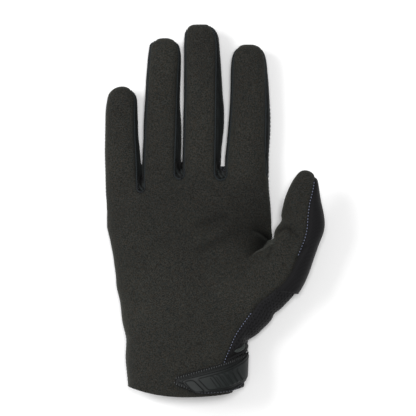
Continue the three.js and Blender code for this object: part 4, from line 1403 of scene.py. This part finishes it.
def stitchTree():
    tree, entry, leave = startTree("stitchRow", {"Pitch": 0.0025, "Length": 0.002,
                                                 "Thickness": 0.0005, "Slant": 0.0})
    link = tree.links.new
    curve = curveAlong(tree, entry, entry.outputs["Pitch"])
    bead = addNode(tree, "GeometryNodeMeshUVSphere", Segments=8, Rings=6, Radius=1.0)
    facing = addNode(tree, "GeometryNodeInputNamedAttribute", {"data_type": "FLOAT_VECTOR"},
                     Name="clothWay")
    tangent = tree.nodes.new("GeometryNodeInputTangent")
    stand = addNode(tree, "FunctionNodeAlignRotationToVector", {"axis": "Z"})
    lie = addNode(tree, "FunctionNodeAlignRotationToVector", {"axis": "X", "pivot_axis": "Z"})
    link(facing.outputs["Attribute"], stand.inputs["Vector"])
    link(stand.outputs["Rotation"], lie.inputs["Rotation"])
    link(tangent.outputs["Tangent"], lie.inputs["Vector"])
    jitter = addNode(tree, "FunctionNodeRandomValue", {"data_type": "FLOAT"})
    jitter.inputs[2].default_value, jitter.inputs[3].default_value = -0.09, 0.09
    link(entry.outputs["Seed"], jitter.inputs["Seed"])
    slant = addNode(tree, "ShaderNodeMath", {"operation": "ADD"})
    link(entry.outputs["Slant"], slant.inputs[0])
    link(jitter.outputs[1], slant.inputs[1])
    turn = addNode(tree, "FunctionNodeAxisAngleToRotation")
    link(slant.outputs[0], turn.inputs["Angle"])
    spin = addNode(tree, "FunctionNodeRotateRotation", {"rotation_space": "LOCAL"})
    link(lie.outputs["Rotation"], spin.inputs["Rotation"])
    link(turn.outputs["Rotation"], spin.inputs["Rotate By"])
    half = [addNode(tree, "ShaderNodeMath", {"operation": "MULTIPLY"}) for _ in range(2)]
    for part, name in zip(half, ("Length", "Thickness")):
        link(entry.outputs[name], part.inputs[0])
        part.inputs[1].default_value = 0.5
    size = tree.nodes.new("ShaderNodeCombineXYZ")
    link(half[0].outputs[0], size.inputs["X"])
    link(half[1].outputs[0], size.inputs["Y"])
    link(half[1].outputs[0], size.inputs["Z"])
    spread = tree.nodes.new("GeometryNodeInstanceOnPoints")
    link(curve, spread.inputs["Points"])
    link(bead.outputs["Mesh"], spread.inputs["Instance"])
    link(spin.outputs["Rotation"], spread.inputs["Rotation"])
    link(size.outputs["Vector"], spread.inputs["Scale"])
    endTree(tree, entry, leave, spread.outputs["Instances"])
    return tree


def rollTree():
    # A rolled edge of cloth, nipped in a little at each stitch
    tree, entry, leave = startTree("rolledEdge", {"Radius": 0.0005, "Pitch": 0.002, "Nip": 0.12,
                                                  "Step": 0.0004})
    link = tree.links.new
    curve = curveAlong(tree, entry, entry.outputs["Step"])
    along = tree.nodes.new("GeometryNodeSplineParameter")
    turns = addNode(tree, "ShaderNodeMath", {"operation": "DIVIDE"})
    angle = addNode(tree, "ShaderNodeMath", {"operation": "MULTIPLY"})
    wave = addNode(tree, "ShaderNodeMath", {"operation": "COSINE"})
    deep = addNode(tree, "ShaderNodeMath", {"operation": "MULTIPLY"})
    thick = addNode(tree, "ShaderNodeMath", {"operation": "SUBTRACT"})
    link(along.outputs["Length"], turns.inputs[0])
    link(entry.outputs["Pitch"], turns.inputs[1])
    link(turns.outputs[0], angle.inputs[0])
    angle.inputs[1].default_value = 2 * math.pi
    link(angle.outputs[0], wave.inputs[0])
    link(wave.outputs[0], deep.inputs[0])
    link(entry.outputs["Nip"], deep.inputs[1])
    thick.inputs[0].default_value = 1.0
    link(deep.outputs[0], thick.inputs[1])
    swell = addNode(tree, "GeometryNodeInputNamedAttribute", {"data_type": "FLOAT"}, Name="swell")
    shaped = addNode(tree, "ShaderNodeMath", {"operation": "MULTIPLY"})
    link(thick.outputs[0], shaped.inputs[0])
    link(swell.outputs["Attribute"], shaped.inputs[1])
    radius = addNode(tree, "ShaderNodeMath", {"operation": "MULTIPLY"})
    link(entry.outputs["Radius"], radius.inputs[0])
    link(shaped.outputs[0], radius.inputs[1])
    ring = addNode(tree, "GeometryNodeCurvePrimitiveCircle", Resolution=8, Radius=1.0)
    tube = tree.nodes.new("GeometryNodeCurveToMesh")
    tube.inputs["Fill Caps"].default_value = True
    link(curve, tube.inputs["Curve"])
    link(ring.outputs["Curve"], tube.inputs["Profile Curve"])
    if "Scale" in tube.inputs:
        link(radius.outputs[0], tube.inputs["Scale"])
    else:
        swell = tree.nodes.new("GeometryNodeSetCurveRadius")
        link(curve, swell.inputs["Curve"])
        link(radius.outputs[0], swell.inputs["Radius"])
        link(swell.outputs["Curve"], tube.inputs["Curve"])
    smooth = tree.nodes.new("GeometryNodeSetShadeSmooth")
    link(tube.outputs["Mesh"], smooth.inputs["Geometry"])
    endTree(tree, entry, leave, smooth.outputs["Geometry"])
    return tree


stitchRow = stitchTree()
rolledEdge = rollTree()


def grown(name, paths, tree, finish, slot, *nodes, **sizes):
    # The tree's result as a plain mesh
    path = pathPiece(name + "Path", paths)
    modifier = path.modifiers.new("grow", "NODES")
    modifier.node_group = tree
    sockets = {item.name: item.identifier for item in tree.interface.items_tree
               if item.in_out == "INPUT"}
    for key, value in sizes.items():
        modifier[sockets[key]] = value
    modifier[sockets["Finish"]] = finishes[finish]
    evaluated = path.evaluated_get(bpy.context.evaluated_depsgraph_get())
    mesh = bpy.data.meshes.new_from_object(evaluated)
    mesh.name = name
    mesh.polygons.foreach_set("use_smooth", np.ones(len(mesh.polygons), bool))
    bpy.data.objects.remove(path)
    piece = bpy.data.objects.new(name, mesh)
    bpy.context.collection.objects.link(piece)
    if not mesh.materials:
        mesh.materials.append(finishes[finish])
    return finishPiece(piece, slot, *nodes)


palmSide = inPattern("palm")
seamWork = {
    "rollRadius": 0.00042, "fingerPitch": 0.0017, "fingerLength": 0.0011, "fingerThread": 0.00038,
    "thumbPitch": 0.0019, "thumbLength": 0.00108, "thumbThread": 0.00056,
}
grown("fingerSeamRoll", seamPaths("finger", lift=0.28), rolledEdge, "roll", "side_strip",
      Radius=seamWork["rollRadius"], Pitch=seamWork["fingerPitch"])
grown("fingerStitches", seamPaths("finger", 0.72, 0.03, palmSide), stitchRow, "darkThread",
      "side_strip",
      Pitch=seamWork["fingerPitch"], Length=seamWork["fingerLength"],
      Thickness=seamWork["fingerThread"])
grown("thumbStitches", seamPaths("thumb", 0.35, 0.1, palmSide,
                                 lambda p: (p[:, 1] > -47.3) & (p[:, 1] < -1.5))
      + seamPaths("thumb", 0.35, 0.1, palmSide, lambda p: p[:, 1] < -83), stitchRow, "paleThread",
      "thumb_knit",
      Pitch=seamWork["thumbPitch"], Length=seamWork["thumbLength"],
      Thickness=seamWork["thumbThread"])
grown("outerSeamRoll", seamPaths("outer", lift=0.1), rolledEdge, "roll", "back_knit",
      Radius=0.0005, Pitch=0.0022)
grown("backStitches", seamPaths("back", 1.3, 0.05, lambda p: -aboveSeam(p)) + seamPaths("cuff", 1.4,
    0.05, pastCuff)
      + seamPaths("cuff", -1.4, 0.05, pastCuff), stitchRow, "greyThread", "back_knit",
      Pitch=0.0026, Length=0.0019, Thickness=0.0005)
grown("palmHemRoll", seamPaths("palmHem", lift=-0.45), rolledEdge, "suede", "palm_suede",
      Radius=0.0007, Pitch=0.004, Nip=0.03)
grown("backHemRoll", seamPaths("backHem", lift=-0.45), rolledEdge, "cuff", "cuff_knit",
      Radius=0.0007, Pitch=0.004, Nip=0.03)
# The slit's rolled edge is in the black lining cloth; its darkness is partly the lining's own
# colour and partly painted shadow in the gap above the strap
grown("gussetBinding", seamPaths("slit", lift=0.1), rolledEdge, "lining", "side_mesh",
      Radius=0.00055, Pitch=0.003, Nip=0.05)

# The lining shows in a small curled fold above the slit
foldPlan = np.array([(27.8, -106.4), (30.4, -106.0), (32.6, -105.2), (34.1, -104.0), (34.7, -102.5),
                     (34.5, -101.0)])
foldPlan = eased(np.stack([np.interp(np.linspace(0, 5, 50), np.arange(6),
                                     foldPlan[:, k]) for k in range(2)], 1), 12)
foldHits = [surface.ray_cast(Vector((x, y, 80)), Vector((0, 0, -1))) for x, y in foldPlan]
foldHits = [hit for hit in foldHits if hit[0] is not None]
foldLine = eased(np.array([hit[0] for hit in foldHits]), 6)
foldWays = eased(np.array([hit[1] for hit in foldHits]), 10)
grown("gussetFold", [(foldLine - (0, 0, 0.35), foldWays)], rolledEdge, "binding", "side_mesh",
      Radius=0.0012, Pitch=0.003, Nip=0.03)
print("seams sewn")


# The closure strap, shaped flat on its own length and width, then wrapped round the wrist

strap = {
    "width": 25, "reach": 43, "tail": 42, "nearer": 0.9, "thickness": 1.45, "clear": 0.2,
    "hookThickness": 1.2,
    "rows": [  # along the tab, low edge, high edge
        (0.0, -0.53, -0.49), (0.014, -0.56, -0.4), (0.03, -0.575, -0.362), (0.112, -0.625, -0.319),
        (0.205, -0.705, -0.27), (0.266, -0.762, -0.239), (0.39, -0.788, -0.175),
        (0.577, -0.778, -0.08),
        (0.756, -0.748, 0.02), (0.856, -0.69, 0.08), (0.944, -0.585, 0.14), (1.0, -0.5, 0.18)],
    "whipPitch": 0.0016, "whipLength": 0.0012, "whipThread": 0.00046,
}
strap["y"] = hand["cuffSeamY"] - strap["width"] / 2 - 0.9 + strap["nearer"]


def wristPoint(turn, y, lift):
    # turn runs from 0 at the thumb edge to 18 across the palm side, and below 0 across the back
    y = np.asarray(y, float)
    centre, half, top = handSections(y)
    halfHeight = (top + hand["restFlat"]) / 2
    angle = np.asarray(turn, float) / 18 * math.pi
    c, s = np.cos(angle), np.sin(angle)
    bend = 2 / hand["squareness"]
    x = centre + (half + lift) * np.sign(c) * np.abs(c) ** bend
    floor = floorAt(y)
    z = floor + top - halfHeight + (halfHeight + lift) * np.sign(s) * np.abs(s) ** bend
    return np.stack([x, y + 0 * x, np.maximum(z, floor - lift)], axis=-1)


strapTurns = np.linspace(-17.8, 17.8, 900)
strapLine = wristPoint(strapTurns, np.full(900, strap["y"]), 0.0)
strapRun = np.concatenate([[0], np.cumsum(np.linalg.norm(np.diff(strapLine, axis=0), axis=1))])
strapRun -= np.interp(0, strapTurns, strapRun)
wristEdge = np.interp(0, strapTurns, strapLine[:, 0])


def runAt(x, back=False):
    # How far round the wrist a place across the glove lies
    pick = strapTurns < 0 if back else strapTurns >= 0
    order = np.argsort(strapLine[pick, 0])
    return np.interp(x, strapLine[pick, 0][order], strapRun[pick][order])


def tabShare(run):
    x = np.interp(run, strapRun, strapLine[:, 0])
    return np.where(np.asarray(run) <= 0, 1.0, 1 - (wristEdge - x) / strap["reach"])


def strapLift(run):
    pad = strap["hookThickness"] + 0.3
    return strap["clear"] + pad * (1 - smoothstep(tabShare(run), 0.68, 0.92))


def wrapped(points, raised=0.0):
    # From run, width and height to the glove
    turn = np.interp(points[:, 0], strapRun, strapTurns)
    return wristPoint(turn, strap["y"] + points[:, 1],
                      strapLift(points[:, 0]) + raised + points[:, 2])


def rounded(outline, times=2, most=9):
    # Corners cut off a few times over, by a quarter of each side at most
    outline = np.asarray(outline, float)
    for turn in range(times):
        onward = np.roll(outline, -1, axis=0)
        cut = np.minimum(0.25, most / 2**turn / np.maximum(np.linalg.norm(onward - outline, axis=1),
                                                           1e-6))[:, None]
        outline = np.stack([mix(outline, onward, cut), mix(onward, outline, cut)], 1).reshape(-1, 2)
    return outline


def planToRun(plan):
    # A place seen from above, as run and width
    plan = np.asarray(plan, float)
    return np.stack([runAt(plan[:, 0]), plan[:, 1] + strap["nearer"] - strap["y"]], axis=1)


def plate(outline, step, relief, raised=0.0, base=0.0):
    # A flat piece with its own relief and painted shade along its lines, wrapped on the strap's
    # course
    outline = np.asarray(outline, float)
    low, high = outline.min(0) - step, outline.max(0) + step
    nx, ny = (np.ceil((high - low) / step).astype(int) + 1)
    gx, gy = np.meshgrid(np.linspace(low[0], high[0], nx), np.linspace(low[1], high[1], ny),
                         indexing="ij")
    flat = np.stack([gx.ravel(), gy.ravel(), np.zeros(gx.size)], 1)
    i, j = np.meshgrid(np.arange(nx - 1), np.arange(ny - 1), indexing="ij")
    a = (i * ny + j).ravel()
    tris = np.concatenate([np.stack([a, a + ny, a + ny + 1], 1),
                           np.stack([a, a + ny + 1, a + 1], 1)])
    flat, tris = cutAlong(flat, tris, lambda p: insidePattern(p, outline))
    tris = tris[insidePattern(centres(flat, tris), outline) > 0]
    flat, tris = mergePlaces(flat, tris)
    edge = np.maximum(insidePattern(flat, outline), 0)
    top, under = flat.copy(), flat.copy()
    top[:, 2], dark = relief(flat, edge)
    under[:, 2] = base
    count = len(flat)
    p, q = tris.ravel(), np.roll(tris, -1, axis=1).ravel()
    forward = set(zip(p.tolist(), q.tolist()))
    faces = tris.tolist() + (tris[:, ::-1] + count).tolist()
    faces += [[m, m + count, n + count, n] for m, n in forward if (n, m) not in forward]
    # run grows towards the tab's tip, so the sheet is turned over as it wraps
    faces = [face[::-1] for face in faces]
    return wrapped(np.concatenate([top, under]), raised), faces, np.concatenate([dark, dark])


def crown(edge, reach):
    # Rises from an edge as a quarter round
    share = np.clip(edge / reach, 0, 1)
    return np.sqrt(np.clip(1 - (1 - share) ** 2, 0, 1))


tabAlong = np.linspace(0, 1, 40)
tabRun = runAt(wristEdge - strap["reach"] * (1 - tabAlong))
tabLow = smoothCurve(column(strap["rows"], 0), column(strap["rows"], 1), tabAlong) * strap["width"]
tabHigh = smoothCurve(column(strap["rows"], 0), column(strap["rows"], 2), tabAlong) * strap["width"]
tailRun = runAt(wristEdge - strap["tail"], back=True)
strapOutline = rounded(
    [(r, w) for r, w in zip(tabRun[::-1], tabLow[::-1])][::-1]
    + [(tailRun, -strap["width"] / 2), (tailRun, strap["width"] * 0.19)]
    + [(r, w) for r, w in zip(tabRun[::-1], tabHigh[::-1])], 2)


def line(away, width):
    return np.exp(-((away / width) ** 2))


def bandRelief(flat, edge):
    # A flat sewn border, then a step up to the body of the strap
    border = 1 - smoothstep(edge, 1.9, 2.3)
    body = strap["thickness"] * (0.5 + 0.5 * crown(edge, 0.7))
    height = body - 0.3 * border - 0.28 * line(edge - 2.1, 0.28)
    # Painted shade along the strap's edge and in the groove at the step
    return height, np.maximum(0.93 * (1 - smoothstep(edge, 0.8, 1.4)), 0.85 * line(edge - 2.1, 0.4))


points, faces, dark = plate(strapOutline, 0.45, bandRelief)
band = addMesh("wristStrapBand", points, faces, [finishes["webbing"]], shadeAndHighlight=dark)
finishPiece(band, "strap_webbing", "wrist_strap")

# The moulded tab: a rounded end block, a slanted channel, then a ribbed body
tipBlock = rounded(planToRun([(-2.7, -125.2), (2.6, -124.3), (9.0, -131.4), (3.9, -132.1),
                              (0.6, -129.6)]), 3, 0.9)
bodyBlock = rounded(np.concatenate([
    planToRun([(5.0, -123.7), (21.4, -119.2), (30.5, -115.2)]),
    [(6.5, 0.9), (1.0, 3.9), (-1.5, 3.9), (-1.5, -8.6), (1.0, -8.6), (6.5, -11.6)],
    planToRun([(30.0, -126.0), (22.0, -128.9), (14, -130.3), (11.2, -130.7)]),
]), 2, 0.8)
tabOutline = rounded(np.concatenate([
    planToRun([(-3.9, -125.6), (-3.2, -124.2), (4.0, -122.3), (12, -120.2), (21.4, -117.7),
               (30.5, -113.7)]),
    [(6.5, 2.5), (1.0, 5.6), (-2.6, 5.6), (-2.6, -9.6), (1.0, -9.6), (6.5, -12.5)],
    planToRun([(30.0, -127.1), (22.0, -130.0), (14, -131.5), (4.6, -132.6), (-0.6, -129.7)]),
]), 1)
ribLines = [planToRun([(x, -122.9 + (x - 13) * 0.27),
                       (x + 3.9, -128.8 + (x - 13) * 0.2)]) for x in np.linspace(13, 28.6, 6)]


def tabRelief(flat, edge):
    height = 0.35 + 0.35 * crown(edge, 0.5)
    # Painted shade in the grooves round the tab, round its tip block and body, and beside each rib;
    # the tip block's top is a little lighter
    dark = 0.85 * line(edge - 0.1, 0.38)
    tip = insidePattern(flat, tipBlock)
    body = insidePattern(flat, bodyBlock)
    height = height + 0.55 * smoothstep(tip, -0.1, 0.4) + 0.4 * smoothstep(body, -0.1, 0.35)
    dark = np.maximum(dark, np.maximum(0.95 * line(tip + 0.2, 0.42), 0.85 * line(body + 0.15,
        0.36)))
    dark = dark - 0.3 * smoothstep(tip, 0.4, 0.9)
    for rib in ribLines:
        away = pathDistance(flat, rib)[0]
        within = smoothstep(body, 0.4, 1.0)
        height = height + 0.4 * smoothstep(-away, -1.05, -0.7) * within
        dark = np.maximum(dark, 0.65 * line(away - 1.0, 0.28) * within)
    return height, dark


points, faces, dark = plate(tabOutline, 0.25, tabRelief, raised=strap["thickness"] - 0.05)
tab = addMesh("strapTabRubber", points, faces, [finishes["patch"]], sharp=60, shadeAndHighlight=dark)
finishPiece(tab, "strap_rubber", "strap_patch")

padAlong = np.linspace(0.12, 0.6, 16)
padRun = runAt(wristEdge - strap["reach"] * (1 - padAlong))
padLow = smoothCurve(column(strap["rows"], 0), column(strap["rows"], 1),
                     padAlong) * strap["width"] + 1.5
padHigh = smoothCurve(column(strap["rows"], 0), column(strap["rows"], 2),
                      padAlong) * strap["width"] - 1.5
padOutline = rounded(list(zip(padRun, padLow)) + list(zip(padRun[::-1], padHigh[::-1])), 1)
points, faces, _ = plate(
    padOutline, 0.5, lambda flat, edge: (strap["hookThickness"] * (0.6 + 0.4 * crown(edge, 0.5)),
                                         0 * edge),
    raised=-strap["hookThickness"] - 0.25)
finishPiece(addMesh("strapHookPad", points, faces, [finishes["hook"]]), "hook_tape",
            "strap_hook_pad")


def strapPath(runs, widths, height, skip=0):
    # A path on the strap, from a few steps of 0.25 mm past its start
    flat = np.stack([runs, widths, np.full(len(runs), height)], 1)
    points = wrapped(flat)
    up = wrapped(flat + (0, 0, 1.0)) - points
    points, up = evenly(points, up / np.linalg.norm(up, axis=1)[:, None], 0.25)
    return points[skip:], up[skip:]


edgeTop = strap["thickness"] * 0.9
border = 0.75
lowBorder = np.full(3, -strap["width"] / 2 + border + 0.3)
half = round(strap["whipPitch"] * 500 / 0.25)
# The pale whip stitches, then a larger, darker copy set lower between them as painted shadow
for name, thread, skip, big in (("Stitches", "whiteThread", 0, 1.0),
                                ("Shadow", "stitchShadow", half, 2.0)):
    sizes = {"Pitch": strap["whipPitch"], "Length": strap["whipLength"] * big,
             "Thickness": strap["whipThread"] * big}
    drawn = border - 0.35 * (big > 1)
    grown("strapWhip" + name, [strapPath(tabRun[1:], tabHigh[1:] - drawn, edgeTop - 0.2 * (big > 1),
                                         skip)], stitchRow,
          thread, "strap_webbing", Slant=1.05, **sizes)
    grown("strapTip" + name, [strapPath(tabRun[:11], tabLow[:11] + drawn, edgeTop - 0.2 * (big > 1),
                                        skip)], stitchRow,
          thread, "strap_webbing", Slant=-1.05, **sizes)
lowRow = strapPath(np.concatenate([tabRun[11:], [-2, -8, -14]]),
                   np.concatenate([tabLow[11:] + border, lowBorder]), edgeTop)
highRow = strapPath(np.array([-1.0, -8, -14]), np.full(3, strap["width"] * 0.19 - border), edgeTop)
grown("strapEdgeStitches", [lowRow, highRow], stitchRow, "greyThread", "strap_webbing",
      Pitch=0.0019, Length=0.0012, Thickness=0.0005)
print("strap made")


# Studio

def makeStudio():
    scene = bpy.context.scene
    world = bpy.data.worlds.new("studio")
    world.use_nodes = True
    world.node_tree.nodes["Background"].inputs["Color"].default_value = (1, 1, 1, 1)
    world.node_tree.nodes["Background"].inputs["Strength"].default_value = 0.42
    scene.world = world
    for name, place, size, power in (
        ("keyLight", (-0.85, 0.3, 1.0), 0.6, 10.0),
        ("topLight", (0.05, 0.1, 1.95), 0.4, 22.0),
    ):
        light = bpy.data.lights.new(name, "AREA")
        light.shape, light.size, light.energy = "SQUARE", size, power
        lamp = bpy.data.objects.new(name, light)
        lamp.location = place
        lamp.rotation_mode = "QUATERNION"
        lamp.rotation_quaternion = (-Vector(place)).to_track_quat("-Z", "Y")
        bpy.context.collection.objects.link(lamp)
    floorMesh = bpy.data.meshes.new("studioFloor")
    r = 3.0
    floorMesh.from_pydata([(-r, -r, -0.0002), (r, -r, -0.0002), (r, r, -0.0002), (-r, r, -0.0002)],
                          [], [(0, 1, 2, 3)])
    paint = bpy.data.materials.new("floorPaint")
    paint.use_nodes = True
    paint.node_tree.nodes["Principled BSDF"].inputs["Base Color"].default_value = (0.96, 0.96, 0.96,
        1)
    paint.node_tree.nodes["Principled BSDF"].inputs["Roughness"].default_value = 0.9
    floorMesh.materials.append(paint)
    floor = bpy.data.objects.new("studioFloor", floorMesh)
    bpy.context.collection.objects.link(floor)
    view = bpy.data.cameras.new("photoView")
    view.lens, view.sensor_width = 300, 36
    camera = bpy.data.objects.new("photoView", view)
    camera.location = (-0.0041, 0.0016, 2.1655)
    bpy.context.collection.objects.link(camera)
    scene.camera = camera
    scene.view_settings.view_transform = "Standard"


makeStudio()
print("studio ready")
